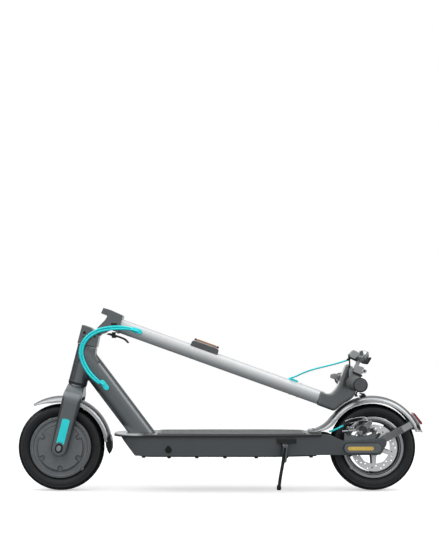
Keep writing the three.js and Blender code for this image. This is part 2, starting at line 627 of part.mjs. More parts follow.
function brakeLever() {
  const blade = new THREE.CatmullRomCurve3([[0, -86.4, 64.5], [0, -112, 67], [0, -150, 66], [0, -188, 68],
    [0, -204, 72]].map((p) => new THREE.Vector3(...p)));
  const section = new THREE.Shape(rounded([[-3.6, -6.5], [3.6, -6.5], [3.6, 6.5], [-3.6, 6.5]], 3, 2));
  const made = new THREE.ExtrudeGeometry(section, { steps: 9, extrudePath: blade, bevelEnabled: false });
  const ball = new THREE.SphereGeometry(8, 12, 8).translate(0, -204, 72);
  return atBar(join(made, ball).translate(-17, 0, 0));
}

function bell() {
  const profile = [[0, 5], [12.5, 5], [12.5, 8], [11.4, 12.5], [8.4, 16], [4.2, 18], [0, 18.6]];
  const dome = turned(profile, 24).rotateZ(-Math.PI / 2);
  const foot = new THREE.CylinderGeometry(3, 3, 4, 12).rotateZ(Math.PI / 2).translate(4.3, 0, 0);
  return atBar(join(dome, foot).translate(0, -79, 70));
}

function stemParts() {
  add('stem_foot', 'darkGrey', stemFoot());
  add('fold_lever', 'black', foldLever());
  add('stem_tube', 'silver', stemTube());
  add('stem_head', 'darkGrey', stemHead());
  stemLamp();
  const face = rounded([[356.4, 274], [359, 274], [359, 285], [353.4, 303], [347.6, 316.4],
    [344.4, 316.4], [350.9, 302], [356.4, 285]], 0);
  add('display_cover', 'black', plate(face, -18, 18));
  const button = new THREE.CylinderGeometry(5.6, 5.6, 4, 20).rotateZ(Math.PI / 2);
  add('power_button', 'steel', button.translate(355.6, 0, 263.5));
  const hook = rounded([[352.6, 242], [360.6, 242.4], [361.6, 245.2], [358.2, 246], [359.2, 252],
    [361.6, 254.6], [358.6, 257.4], [356.8, 253], [353.6, 247]], 0);
  add('latch_hook', 'black', plate(hook, -5, 5));
}

function barParts() {
  const bore = rod(9, -220, 220, BAR.x, BAR.z, 20);
  add('handlebar', 'black', cut(rod(11, -212, 212, BAR.x, BAR.z, 28), bore));
  add('grip_left', 'black', grip(-1));
  add('grip_right', 'black', grip(1));
  add('brake_perch', 'midGrey', brakePerch());
  add('brake_lever', 'darkGrey', brakeLever());
  add('bell_dome', 'silver', bell());
  const thumb = plate(rounded([[13, 50], [26, 52], [30, 64], [22, 66], [19.5, 58]], 0), -86, -70);
  add('bell_lever', 'black', atBar(thumb));
  const housing = join(plate(circle(18, 20), 62, 86),
    plate(rounded([[-26, -8], [-8, -14], [-8, 14], [-26, 8]], 3), 62, 84));
  add('throttle_housing', 'darkGrey', atBar(cut(housing, plate(circle(11.3, 20), 40, 100))));
  const paddle = plate(rounded([[-44, -8], [-27, -7], [-27, 7], [-34, 9], [-46, 2]], 3), 66, 82, 1);
  add('throttle_paddle', 'midGrey', atBar(paddle));
}

function stemLamp() {
  const body = rounded([[189, 12.6, 6], [250, 12.6, 6], [257.6, 22, 6], [256, 30.5], [183, 30.5],
    [181.4, 22, 6]], 0);
  const saddle = along(new THREE.CylinderGeometry(TUBE_R + GAP, TUBE_R + GAP, 120, 36)
    .rotateZ(Math.PI / 2).translate(220, 0, 0));
  add('headlight_housing', 'darkGrey', cut(along(plate(body, -13, 13, 2)), saddle));
  const lens = rounded([[185, 30.9], [256, 30.9], [255, 35], [251, 36.8], [189, 36.8], [186, 35]], 0);
  add('headlight_lens', 'copper', along(plate(lens, -11, 11, 1.5)));
}

// ---- cables held at both ends ----
const UPPER_LOOP = [[-214, 413.4], [-234.5, 419.6], [-263.8, 422.4], [-291.6, 420.4], [-316, 415],
  [-334, 406], [-346, 396.4]];
const LOWER_LOOP = [[-348.2, 394], [-356, 382.6], [-361, 367], [-361.4, 352], [-357, 336],
  [-349, 319], [-338.4, 303.6], [-326, 290.6], [-312.4, 279], [-304, 273]];

function stadiumPatch(x, z, y0, y1, tilt) {
  return plate(stadium(27, 12, 5), y0, y1).rotateY(tilt).translate(x, 0, z);
}

// The loop's points, moved across it by off, at the given widths.
function beside(loop, off, widths) {
  const flat = loop.map(([x, z]) => new THREE.Vector2(x, z));
  return flat.map((p, i) => {
    const next = flat[Math.min(i + 1, flat.length - 1)];
    const ahead = next.clone().sub(flat[Math.max(i - 1, 0)]).normalize();
    return [p.x - ahead.y * off, widths[i], p.y + ahead.x * off];
  });
}

// The motor and brake cables run side by side; each is in two halves that meet beside the head tube.
function cables() {
  const apart = CABLE_R + 0.2;
  const upperWidths = [-22, -26, -31, -33.5, -34.5, -34.5, -34.5];
  const lowerWidths = [-34.5, -34.5, -34.5, -34.5, -34.5, -34.8, -35, -35.4, -35, -33];
  const stemPatch = stadiumPatch(-219, 415, -22.6, -19.2, STEM_TILT);
  const framePatch = stadiumPatch(-300.8, 273.3, -32.6, -29.4, DOWN_TUBE_ANGLE);
  const motorUpper = cable(beside(UPPER_LOOP, apart, upperWidths), CABLE_R, 16);
  const motorLower = cable(beside(LOWER_LOOP, apart, lowerWidths), CABLE_R, 20);
  const brakeUpper = beside(UPPER_LOOP, -apart, upperWidths).slice(1);
  const brakeLower = beside(LOWER_LOOP, -apart, lowerWidths).slice(0, -1);
  add('motor_cable_stem', 'cyan', join(motorUpper, stemPatch));
  add('motor_cable_frame', 'cyan', join(motorLower, framePatch));
  add('brake_cable_stem', 'cyan', cable(brakeUpper, CABLE_R - 0.1, 14));
  add('brake_cable_frame', 'cyan', cable(brakeLower, CABLE_R - 0.1, 20));
  add('brake_cable_bar', 'cyan', cable([[186, -4, 291.4], [198, -12, 295.5], [215, -26, 304.4],
    [242, -46, 315], [287, -66, 327.2], [308, -73, 333.4], [328, -78, 340]], 2.4, 18));
}

steeringParts();
wheels();
frameParts();
rearParts();
kickstandParts();
add('charge_cap', 'black', chargeCap());
stemParts();
barParts();
cables();

export default group;
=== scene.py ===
"""The looks of a folding electric kick scooter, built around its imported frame.

Metres, +Z up, front towards -X, left side towards -Y.
"""

import json
import math

import bmesh
import bpy
from mathutils import Matrix, Vector


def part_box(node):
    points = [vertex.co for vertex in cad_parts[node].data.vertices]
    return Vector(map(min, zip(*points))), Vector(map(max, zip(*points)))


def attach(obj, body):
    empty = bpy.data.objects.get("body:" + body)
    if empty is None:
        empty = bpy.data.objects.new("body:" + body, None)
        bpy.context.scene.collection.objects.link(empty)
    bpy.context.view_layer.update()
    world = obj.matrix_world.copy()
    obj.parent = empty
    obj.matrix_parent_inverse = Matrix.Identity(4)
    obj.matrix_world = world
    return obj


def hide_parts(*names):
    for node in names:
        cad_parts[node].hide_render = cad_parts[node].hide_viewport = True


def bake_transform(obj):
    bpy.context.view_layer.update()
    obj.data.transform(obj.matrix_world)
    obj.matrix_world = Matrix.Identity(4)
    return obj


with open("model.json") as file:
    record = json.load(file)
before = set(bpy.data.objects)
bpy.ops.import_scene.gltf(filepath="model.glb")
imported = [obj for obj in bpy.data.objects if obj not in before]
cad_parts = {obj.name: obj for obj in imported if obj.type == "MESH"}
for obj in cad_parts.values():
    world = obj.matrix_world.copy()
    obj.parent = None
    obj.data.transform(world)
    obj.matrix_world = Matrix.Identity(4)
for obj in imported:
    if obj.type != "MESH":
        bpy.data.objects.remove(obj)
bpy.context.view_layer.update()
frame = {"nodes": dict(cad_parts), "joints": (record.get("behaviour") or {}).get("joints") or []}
JOINTS = {j["name"]: j for j in frame["joints"]}

MM = 0.001  # outlines are written in millimetres and built in metres
TYRE_RADIUS = 112
RIM_RADIUS = 79.6
FENDER_RADIUS = 133
DECK_TOP = 149.5
TUBE_RADIUS = 18.5
SHARP_EDGE = math.radians(32)  # edges that turn by more than this are rounded
CAMERA_PLACE = (-0.0004, -2.8, 0.39)
CAMERA_TARGET = (-0.0020, 0, 0.5620)
CAMERA_LENS = 69.45
TREAD_START = 104.5  # the radius at which the tyre's pattern begins
TREAD_BLOCKS = 44
COVER_SCREWS = 6
SPOKES = 5
DISC_HOLES = 30
MAT_RIBS = 17
GRIP_RINGS = 24
CALIPER_TURN = 122  # how far round the rear wheel the caliper sits, in degrees


# ---- places taken from the frame ----
def middle(node):
    low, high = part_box(node)
    return (low + high) / 2


def joint_at(name):
    return Vector(JOINTS[name]["pos_m"])


FRONT = middle("front_tyre")
REAR = middle("rear_tyre")
BAR = middle("handlebar")
HINGE = joint_at("stem_fold")
STEER_AXIS = Vector(JOINTS["steering"]["axis"])
STEM_AXIS = Vector(JOINTS["brake_lever_pivot"]["axis"])
LEAN = math.atan2(STEER_AXIS.x, STEER_AXIS.z)
TILT = math.atan2(-STEM_AXIS.z, STEM_AXIS.x)
TUBE_MIDDLE = 263.3  # from the collar's origin to the middle of the stem tube, along it


def frame_at(origin, angle):
    return Matrix.Translation(origin) @ Matrix.Rotation(angle, 4, "Y")


AT_FRONT = frame_at(FRONT, 0)
AT_REAR = frame_at(REAR, 0)
AT_STEER = frame_at(FRONT, LEAN)
AT_STEM = frame_at(middle("stem_tube") - STEM_AXIS * TUBE_MIDDLE * MM, TILT)
AT_BAR = frame_at(BAR, TILT)
AT_HANDS = frame_at(BAR, 0)
WORLD = Matrix.Identity(4)


# ---- geometry helpers ----
def new_object(name, bm):
    mesh = bpy.data.meshes.new(name)
    bmesh.ops.recalc_face_normals(bm, faces=bm.faces)
    bm.to_mesh(mesh)
    bm.free()
    obj = bpy.data.objects.new(name, mesh)
    bpy.context.scene.collection.objects.link(obj)
    return obj


def rounded(points, reach=0.0, steps=8):
    """A polygon with its corners rounded: a point is (a, b) or (a, b, how far its rounding reaches)."""
    out = []
    for i, point in enumerate(points):
        here = Vector(point[:2])
        back = Vector(points[i - 1][:2]) - here
        on = Vector(points[(i + 1) % len(points)][:2]) - here
        r = min(point[2] if len(point) > 2 else reach, back.length * 0.48, on.length * 0.48)
        if r < 0.1:
            out.append(here)
            continue
        first = here + back.normalized() * r
        last = here + on.normalized() * r
        for k in range(steps + 1):
            t = k / steps
            out.append((1 - t) ** 2 * first + 2 * t * (1 - t) * here + t * t * last)
    return out


def circle(r, count=32, x=0.0, z=0.0):
    turns = [2 * math.pi * i / count for i in range(count)]
    return [Vector((x + r * math.cos(a), z + r * math.sin(a))) for a in turns]


def stadium(length, width, count=14, x=0.0, z=0.0):
    r = width / 2
    half = length / 2 - r
    out = []
    for side in (0, 1):
        for i in range(count + 1):
            a = -math.pi / 2 + math.pi * (i / count + side)
            centre = half if side == 0 else -half
            out.append(Vector((x + centre + r * math.cos(a), z + r * math.sin(a))))
    return out


def arc(radius, start_deg, end_deg, count=24, x=0.0, z=0.0):
    turns = [math.radians(start_deg + (end_deg - start_deg) * i / (count - 1)) for i in range(count)]
    return [Vector((x + radius * math.cos(a), z + radius * math.sin(a))) for a in turns]


def prism(points, low, high, plane="XZ"):
    """An outline in millimetres, thickened from low to high across its plane."""
    def at(p, depth):
        a, b, d = p[0] * MM, p[1] * MM, depth * MM
        return {"XZ": (a, d, b), "XY": (a, b, d), "YZ": (d, a, b)}[plane]

    bm = bmesh.new()
    ends = [[bm.verts.new(at(p, depth)) for p in points] for depth in (low, high)]
    for ring in ends:
        bm.faces.new(ring)
    count = len(points)
    for i in range(count):
        j = (i + 1) % count
        bm.faces.new((ends[0][i], ends[0][j], ends[1][j], ends[1][i]))
    return new_object("prism", bm)


def lathe(profile, segments=96, loop=True, dent=None):
    """A profile of (radius, y) turned about the Y axis. dent(angle, radius, y) lowers the surface."""
    bm = bmesh.new()
    rings = []
    for s in range(segments):
        a = 2 * math.pi * s / segments
        ring = []
        for r, y in profile:
            reach = r - (dent(a, r, y) if dent else 0)
            ring.append(bm.verts.new((reach * MM * math.cos(a), y * MM, reach * MM * math.sin(a))))
        rings.append(ring)
    rows = len(profile) if loop else len(profile) - 1
    for s in range(segments):
        here, there = rings[s], rings[(s + 1) % segments]
        for i in range(rows):
            j = (i + 1) % len(profile)
            bm.faces.new((here[i], here[j], there[j], there[i]))
    bmesh.ops.remove_doubles(bm, verts=bm.verts, dist=1e-7)
    return new_object("lathe", bm)


def aligned(obj, axis, x, y, z):
    """Turns a shape made about the Y axis to another axis and moves it, in millimetres."""
    turn = {"Y": WORLD, "X": Matrix.Rotation(-math.pi / 2, 4, "Z"), "Z": Matrix.Rotation(math.pi / 2, 4, "X")}
    obj.data.transform(Matrix.Translation(Vector((x, y, z)) * MM) @ turn[axis])
    return obj


def turned(profile, segments=48, axis="Y", x=0.0, y=0.0, z=0.0):
    """A solid of revolution about a line through (x, y, z) along an axis; the profile is (radius, height)."""
    obj = lathe([(0, profile[0][1]), *profile, (0, profile[-1][1])], segments, loop=False)
    return aligned(obj, axis, x, y, z)


def pipe(outer, inner, low, high, segments=96, axis="Y", x=0.0, y=0.0, z=0.0):
    """A round tube from low to high along an axis, with eased outer rims."""
    ease = min(0.4, (outer - inner) * 0.4)
    profile = [(outer, low + ease), (outer, high - ease), (outer - ease, high), (inner, high), (inner, low),
               (outer - ease, low)]
    return aligned(lathe(profile, segments), axis, x, y, z)


def screw(r, x, y, z, side=-1, height=1.6):
    """The head of a socket screw at (x, y, z), facing the left (side -1) or the right."""
    profile = [(r, 0), (r, height * 0.7), (r * 0.82, height), (r * 0.5, height), (r * 0.45, height * 0.4)]
    turn = Matrix.Rotation(math.pi, 4, "Z") if side < 0 else WORLD
    return placed(turned(profile, 20), Matrix.Translation(Vector((x, y, z)) * MM) @ turn)


def catmull(points, samples):
    """Points on a smooth curve through the given ones."""
    pts = [Vector(p) for p in points]
    ends = [2 * pts[0] - pts[1], *pts, 2 * pts[-1] - pts[-2]]
    spans = len(pts) - 1
    out = []
    for k in range(samples):
        u = k / (samples - 1) * spans
        i = min(int(u), spans - 1)
        t = u - i
        a, b, c, d = ends[i:i + 4]
        out.append(0.5 * ((2 * b) + (c - a) * t + (2 * a - 5 * b + 4 * c - d) * t ** 2
                          + (3 * b - a - 3 * c + d) * t ** 3))
    return out


def tube(points, radius, samples=60, sides=16, flat=1.0):
    """A round rod along a smooth curve; radius is a number or a function of the share along it."""
    path = catmull(points, samples)
    bm = bmesh.new()
    normal = Vector((0, 1, 0))
    rings = []
    for i, p in enumerate(path):
        ahead = (path[min(i + 1, samples - 1)] - path[max(i - 1, 0)]).normalized()
        normal = (normal - ahead * normal.dot(ahead)).normalized()
        side = ahead.cross(normal)
        r = radius(i / (samples - 1)) if callable(radius) else radius
        ring = []
        for k in range(sides):
            a = 2 * math.pi * k / sides
            ring.append(bm.verts.new((p + normal * r * math.cos(a) * flat + side * r * math.sin(a)) * MM))
        rings.append(ring)
    for here, there in zip(rings, rings[1:]):
        for k in range(sides):
            bm.faces.new((here[k], here[(k + 1) % sides], there[(k + 1) % sides], there[k]))
    bm.faces.new(rings[0])
    bm.faces.new(rings[-1])
    return new_object("tube", bm)


def spring(start, end, radius, wire, turns):
    """A coil spring in millimetres between two points."""
    a, b = Vector(start), Vector(end)
    ahead = (b - a).normalized()
    side = ahead.cross(Vector((0.3, 1, 0.2))).normalized()
    other = ahead.cross(side)
    count = turns * 8
    points = []
    for i in range(count + 1):
        t = 2 * math.pi * i / 8
        points.append(a + (b - a) * i / count + (side * math.cos(t) + other * math.sin(t)) * radius)
    return tube(points, wire, count * 2, 6)


def skin(stations, across, thick):
    """A curved closed sheet: stations are (x, z, outward angle, depth), across is (y, share of depth)."""
    bm = bmesh.new()

    def grid(inset):
        rows = []
        for x, z, out, depth in stations:
            row = []
            for y, share in across:
                sink = depth * share + (inset if share < 0.9 else 0)
                width = y - (math.copysign(inset, y) if inset and share > 0.3 else 0)
                point = Vector((x - sink * math.cos(out), width, z - sink * math.sin(out)))
                row.append(bm.verts.new(point * MM))
            rows.append(row)
        return rows

    outer, inner = grid(0), grid(thick)
    last = len(across) - 1
    for i in range(len(stations) - 1):
        for j in range(last):
            for rows in (outer, inner):
                bm.faces.new((rows[i][j], rows[i + 1][j], rows[i + 1][j + 1], rows[i][j + 1]))
        for j in (0, last):
            bm.faces.new((outer[i][j], outer[i + 1][j], inner[i + 1][j], inner[i][j]))
    for i in (0, len(stations) - 1):
        for j in range(last):
            bm.faces.new((outer[i][j], outer[i][j + 1], inner[i][j + 1], inner[i][j]))
    return new_object("skin", bm)


def placed(obj, matrix):
    obj.data.transform(matrix)
    return obj


def mirrored(obj):
    """A copy on the other side of the middle plane."""
    bm = bmesh.new()
    bm.from_mesh(obj.data)
    bmesh.ops.transform(bm, matrix=Matrix.Diagonal((1, -1, 1, 1)), verts=bm.verts)
    return new_object("mirrored", bm)


def joined(*objs):
    """One object made of several solids."""
    bm = bmesh.new()
    for obj in objs:
        bm.from_mesh(obj.data)
        bpy.data.objects.remove(obj)
    return new_object("joined", bm)


def cad_copy(node):
    """A clean copy of a CAD node's mesh: welded, with its flat faces whole."""
    bm = bmesh.new()
    bm.from_mesh(frame["nodes"][node].data)
    bmesh.ops.remove_doubles(bm, verts=bm.verts, dist=1e-6)
    bmesh.ops.dissolve_limit(bm, angle_limit=math.radians(0.6), verts=bm.verts, edges=bm.edges)
    return new_object("copy", bm)


def settle(obj):
    """Applies an object's modifiers."""
    graph = bpy.context.evaluated_depsgraph_get()
    mesh = bpy.data.meshes.new_from_object(obj.evaluated_get(graph))
    obj.modifiers.clear()
    obj.data = mesh
    return obj


def boolean(obj, operation, *tools):
    for tool in tools:
        step = obj.modifiers.new("boolean", "BOOLEAN")
        step.operation = operation
        step.solver = "EXACT"
        step.object = tool
    settle(obj)
    for tool in tools:
        bpy.data.objects.remove(tool)
    return obj


def cut(obj, *tools):
    return boolean(obj, "DIFFERENCE", *tools)


def common(obj, tool):
    return boolean(obj, "INTERSECT", tool)


def cast(obj, voxel, rounds):
    """Melts solids into one body with soft edges, as a casting has."""
    remesh = obj.modifiers.new("voxels", "REMESH")
    remesh.mode = "VOXEL"
    remesh.voxel_size = voxel * MM
    remesh.use_smooth_shade = True
    soft = obj.modifiers.new("soft", "SMOOTH")
    soft.factor = 0.5
    soft.iterations = rounds
    return settle(obj)


def bevel(obj, width, segments):
    """A modifier that rounds the sharp edges by width millimetres."""
    step = obj.modifiers.new("edges", "BEVEL")
    step.width = width * MM
    step.segments = segments
    step.limit_method = "ANGLE"
    step.angle_limit = SHARP_EDGE


def eased(obj, width, segments=3):
    """Rounds the sharp edges by width millimetres."""
    bevel(obj, width, segments)
    return settle(obj)


def plate(points, reach, low, high, ease=0.0, segments=3, plane="XZ", steps=8):
    """An outline with rounded corners, thickened from low to high, its edges eased."""
    obj = prism(rounded(points, reach, steps), low, high, plane)
    return eased(obj, ease, segments) if ease else obj


def piece(obj, name, body, finish, stands_for=(), sharp=38, at=WORLD):
    """Puts a finished mesh in its place, names it, gives it its finish and makes it move with its body."""
    obj.data.transform(at)
    obj.name = name
    obj.data.name = name
    obj.data.materials.clear()
    obj.data.materials.append(M[finish])
    for face in obj.data.polygons:
        face.use_smooth = True
        face.material_index = 0
    obj.data.set_sharp_from_angle(angle=math.radians(sharp))
    normals = obj.modifiers.new("normals", "WEIGHTED_NORMAL")
    normals.keep_sharp = True
    if body:
        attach(obj, body)
    if stands_for:
        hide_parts(*stands_for)
    return obj


def kept(node, finish, width=0.4):
    """A CAD node that stays, with eased edges and a finish."""
    obj = frame["nodes"][node]
    weld = obj.modifiers.new("weld", "WELD")
    weld.merge_threshold = 1e-6
    flat = obj.modifiers.new("flat", "DECIMATE")
    flat.decimate_type = "DISSOLVE"
    flat.angle_limit = math.radians(1)
    bevel(obj, width, 2)
    for place in obj.material_slots:
        place.material = M[finish]


# ---- materials ----
WORN = (0.75, 0.76, 0.78)


def tools_of(owner):
    """The node maker and the linker of a material or a world. Spaces in a socket's name are written as _."""
    tree = owner.node_tree

    def new(kind, **values):
        node = tree.nodes.new("ShaderNode" + kind)
        for socket, value in values.items():
            node.inputs[socket.replace("_", " ")].default_value = value
        return node

    return new, tree.links.new


def raised(made, height, strength, distance=0.0002):
    """Gives a material the relief of a height socket."""
    new, link = tools_of(made)
    relief = new("Bump", Strength=strength, Distance=distance)
    link(height, relief.inputs["Height"])
    link(relief.outputs["Normal"], made.node_tree.nodes["Principled BSDF"].inputs["Normal"])
    return made


def material(name, colour, rough, metal=0.0, coat=0.0, vary=0.08, grain=45.0, spread=0.06, bump=0.0,
             bump_scale=1400.0, wear=0.0, painted_highlight=None):
    """A finish whose colour, roughness and relief vary finely. Its last argument, when given, is (axis, start,
    end, other colour): below start along the axis the colour is the other colour, fading into the finish by
    end, a painted highlight.
    """
    made = bpy.data.materials.new(name)
    made.use_nodes = True
    new, link = tools_of(made)
    surface = made.node_tree.nodes["Principled BSDF"]
    surface.inputs["Metallic"].default_value = metal
    surface.inputs["Coat Weight"].default_value = coat
    surface.inputs["Coat Roughness"].default_value = 0.12
    place = new("TexCoord").outputs["Object"]

    def noise(scale, detail):
        node = new("TexNoise", Scale=scale, Detail=detail)
        link(place, node.inputs["Vector"])
        return node.outputs["Fac"]

    def spread_of(source, low, high, start=0.3, end=0.7):
        node = new("MapRange", From_Min=start, From_Max=end, To_Min=low, To_Max=high)
        link(source, node.inputs["Value"])
        return node.outputs["Result"]

    def blend_of(factor, first, second):
        node = new("Mix")
        node.data_type = "RGBA"
        link(factor, node.inputs["Factor"])
        for socket, value in ((node.inputs["A"], first), (node.inputs["B"], second)):
            if isinstance(value, tuple):
                socket.default_value = (*value, 1)
            else:
                link(value, socket)
        return node.outputs["Result"]

    def shade(share):
        return tuple(min(1.0, c * share) for c in colour)

    tone = blend_of(spread_of(noise(grain, 4), 0, 1), shade(1 - vary), shade(1 + vary))
    # An optional band of another colour along one axis: a painted highlight.
    if painted_highlight:
        axis, start, end, other = painted_highlight
        split = new("SeparateXYZ")
        link(place, split.inputs["Vector"])
        tone = blend_of(spread_of(split.outputs[axis], 0, 1, start, end), other, tone)
    if wear:
        edge = spread_of(new("NewGeometry").outputs["Pointiness"], 0, wear, 0.54, 0.66)
        tone = blend_of(edge, tone, WORN)
    link(tone, surface.inputs["Base Color"])
    link(spread_of(noise(grain * 3.1, 3), rough - spread, rough + spread), surface.inputs["Roughness"])
    if bump:
        raised(made, noise(bump_scale, 2), bump)
    return made


def dulled(made, level):
    """Lowers how much a finish mirrors."""
    made.node_tree.nodes["Principled BSDF"].inputs["Specular IOR Level"].default_value = level
    return made


def radial(made, centre):
    """The distance from a Y line through centre, as a socket of a material."""
    new, link = tools_of(made)
    source = new("TexCoord").outputs["Object"]
    for operation, value in (("SUBTRACT", centre), ("MULTIPLY", (1, 0, 1)), ("LENGTH", (0, 0, 0))):
        step = new("VectorMath")
        step.operation = operation
        step.inputs[1].default_value = value
        link(source, step.inputs[0])
        source = step.outputs[0]
    return step.outputs["Value"]


def computed(made, operation, source, value=0.0):
    """What an operation makes of a socket and a number, as a socket of a material."""
    new, link = tools_of(made)
    node = new("Math")
    node.operation = operation
    node.inputs[1].default_value = value
    link(source, node.inputs[0])
    return node.outputs["Value"]


def ringed(made, centre, pitch, depth):
    """Adds fine turned rings about a Y line through centre to a material's relief."""
    wave = computed(made, "MULTIPLY", radial(made, centre), 2 * math.pi / pitch)
    return raised(made, computed(made, "SINE", wave), depth)


def banded(made, centre, tones):
    """Shades a material by its distance from a Y line through centre; tones are (millimetres, share)."""
    new, link = tools_of(made)
    widest = tones[-1][0]
    ramp = new("ValToRGB")
    stops_of(ramp, [(at / widest, (share, share, share, 1)) for at, share in tones])
    shade = new("Mix", Factor=1.0)
    shade.data_type = "RGBA"
    shade.blend_type = "MULTIPLY"
    colour = made.node_tree.nodes["Principled BSDF"].inputs["Base Color"]
    link(computed(made, "MULTIPLY", radial(made, centre), 1 / (widest * MM)), ramp.inputs["Fac"])
    link(colour.links[0].from_socket, shade.inputs["A"])
    link(ramp.outputs["Color"], shade.inputs["B"])
    link(shade.outputs["Result"], colour)
    return made


def stops_of(ramp, stops):
    """Fills a colour ramp with (position, colour) stops."""
    elements = ramp.color_ramp.elements
    for element, (position, colour) in zip((elements[0], elements[1]), (stops[0], stops[-1])):
        element.position = position
        element.color = colour
    for position, colour in stops[1:-1]:
        elements.new(position).color = colour


def lens_material(name, colour, rough, cell):
    """A tinted reflector with a fine field of prism cells."""
    made = material(name, colour, rough, coat=0.6, vary=0.12, grain=160)
    new, link = tools_of(made)
    cells = new("TexVoronoi", Scale=1 / cell, Randomness=0.0)
    link(new("TexCoord").outputs["Object"], cells.inputs["Vector"])
    return raised(made, cells.outputs["Distance"], 0.35, 0.0003)


GREY = (0.185, 0.203, 0.214)
MID = (0.3, 0.318, 0.332)
DARK = (0.165, 0.178, 0.188)
M = {
    "grey": material("satin_grey_paint", GREY, 0.32, 0.9, coat=0.3, vary=0.03, spread=0.01),
    "deck": material("satin_deck_paint", (0.1, 0.111, 0.118), 0.4, 0.4, coat=0.2, vary=0.03, spread=0.015),
    "mid": material("satin_mid_grey_paint", MID, 0.3, 0.9, coat=0.3, vary=0.03, spread=0.01),
    "dark": material("satin_dark_grey_paint", DARK, 0.3, 0.9, coat=0.35, vary=0.03, spread=0.01),
    "light": material("light_grey_plastic", (0.32, 0.335, 0.345), 0.45, 0.15, bump=0.05, wear=0.1),
    "pale": material("pale_grey_plastic", (0.43, 0.445, 0.455), 0.45, 0.15, bump=0.05),
    "silver": material("satin_silver_paint", (0.7, 0.715, 0.725), 0.4, 0.3, coat=0.15, vary=0.02,
                       spread=0.02),
    "chrome": material("gunmetal_silver", (0.42, 0.43, 0.44), 0.31, 1.0, coat=0.1, vary=0.02, spread=0.02),
    "steel": material("bare_steel", (0.5, 0.51, 0.52), 0.32, 1.0, vary=0.08),
    "bolt": material("black_oxide_steel", (0.022, 0.023, 0.025), 0.4, 0.7, wear=0.3),
    "zinc": material("zinc_plated_steel", (0.7, 0.71, 0.72), 0.25, 1.0, vary=0.1),
    "black": material("matt_black_plastic", (0.01, 0.011, 0.012), 0.5, bump=0.1, wear=0.05),
    "rubber": material("black_rubber", (0.012, 0.0125, 0.013), 0.7, vary=0.15, bump=0.15, bump_scale=900),
    "grip": material("grip_rubber", (0.13, 0.138, 0.144), 0.6, vary=0.08, bump=0.3, bump_scale=1500),
    "cap": material("grip_end_rubber", (0.105, 0.114, 0.122), 0.5, vary=0.08, bump=0.1),
    "cyan": material("cyan_plastic", (0.02, 0.93, 1.0), 0.4, coat=0.25, vary=0.05),
    "amber": lens_material("amber_reflector", (0.93, 0.6, 0.11), 0.3, 0.0022),
    "frame": material("pale_reflector_frame", (0.34, 0.32, 0.26), 0.4),
    "red": lens_material("red_lens", (0.3, 0.01, 0.018), 0.2, 0.003),
    "copper": material("copper_tinted_lens", (0.5, 0.27, 0.17), 0.16, 0.25, coat=0.8, vary=0.1, grain=25),
    "brown": material("dark_brown_lens", (0.09, 0.02, 0.008), 0.16, 0.1, coat=0.8, vary=0.2, grain=40),
    "glass": material("black_glass", (0.008, 0.009, 0.011), 0.08, coat=0.8, vary=0.2),
    "mat": material("deck_mat_rubber", (0.115, 0.123, 0.13), 0.36, vary=0.06, spread=0.02),
    "head": material("glossy_dark_grey_paint", (0.17, 0.182, 0.19), 0.26, 0.9, coat=0.8, vary=0.02,
                     spread=0.01),
    "battery": material("battery_wrap", (0.015, 0.03, 0.07), 0.35, vary=0.1),
    "lamp": material("lamp_grey_plastic", (0.12, 0.129, 0.135), 0.4, 0.3, coat=0.2),
    "cup": material("satin_bell_aluminium", (0.7, 0.71, 0.72), 0.3, 0.8),
    "stay": material("stay_paint", (0.1, 0.109, 0.115), 0.42, 0.3, wear=0.2),
    "rim": material("rim_lip_paint", (0.45, 0.465, 0.48), 0.3, 0.7, coat=0.3, vary=0.03, spread=0.01),
    "barrel": material("polished_rim_metal", (0.4, 0.41, 0.42), 0.26, 1.0, vary=0.05),
    "spoke": material("spoke_paint", (0.09, 0.096, 0.1), 0.28, 0.7, coat=0.3),
}
M["rotor"] = material("brushed_rotor_steel", (0.85, 0.86, 0.87), 0.32, 0.45, vary=0.03)
M["hub"] = material("hub_paint", (0.2, 0.213, 0.222), 0.4, 0.35, coat=0.15, wear=0.1)
ringed(M["rotor"], REAR, 0.0011, 0.05)
ringed(M["hub"], FRONT, 0.0009, 0.02)
# The deck edge's paint; its nose below X -0.215 m is a lighter silver, a painted highlight of the rounded
# nose, fading out by -0.195 m.
M["lip"] = material("deck_edge_paint_with_painted_highlight", (0.075, 0.081, 0.086), 0.34, 0.3, coat=0.3,
                    painted_highlight=("X", -0.215, -0.195, (0.62, 0.63, 0.64)))
# Tyre colour by radius: grey wall, a band of twice the brightness at 101-102.4 mm that is a painted highlight
# on the moulded ring, and darker rubber from 104 mm out.
TYRE_TONES_WITH_PAINTED_HIGHLIGHT = [(0, 0.42), (99, 0.5), (101, 1.0), (102.4, 1.0), (104, 0.16), (120, 0.12)]
for word, centre in (("front", FRONT), ("rear", REAR)):
    rubber = material(f"{word}_tyre_rubber", (0.044, 0.0465, 0.05), 0.5, vary=0.15, bump=0.1, bump_scale=1100)
    M[f"tyre_{word}"] = banded(dulled(rubber, 0.35), centre, TYRE_TONES_WITH_PAINTED_HIGHLIGHT)
dulled(M["rubber"], 0.3)


# ---- camera, light and floor ----
def aimed(name, data, place, target):
    """Puts a camera or a light in the scene, looking at target."""
    obj = bpy.data.objects.new(name, data)
    bpy.context.scene.collection.objects.link(obj)
    obj.location = place
    obj.rotation_mode = "QUATERNION"
    obj.rotation_quaternion = (Vector(target) - obj.location).to_track_quat("-Z", "Y")
    return obj


def camera():
    """A long lens on the left side, a little above the deck and looking slightly upwards."""
    data = bpy.data.cameras.new("camera")
    data.lens = CAMERA_LENS
    data.sensor_width = 36
    data.clip_start, data.clip_end = 0.1, 60
    bpy.context.scene.camera = aimed("camera", data, CAMERA_PLACE, CAMERA_TARGET)


def area_light(name, place, target, size, power):
    data = bpy.data.lights.new(name, "AREA")
    data.shape = "RECTANGLE"
    data.size, data.size_y = size
    data.energy = power
    aimed(name, data, place, target)


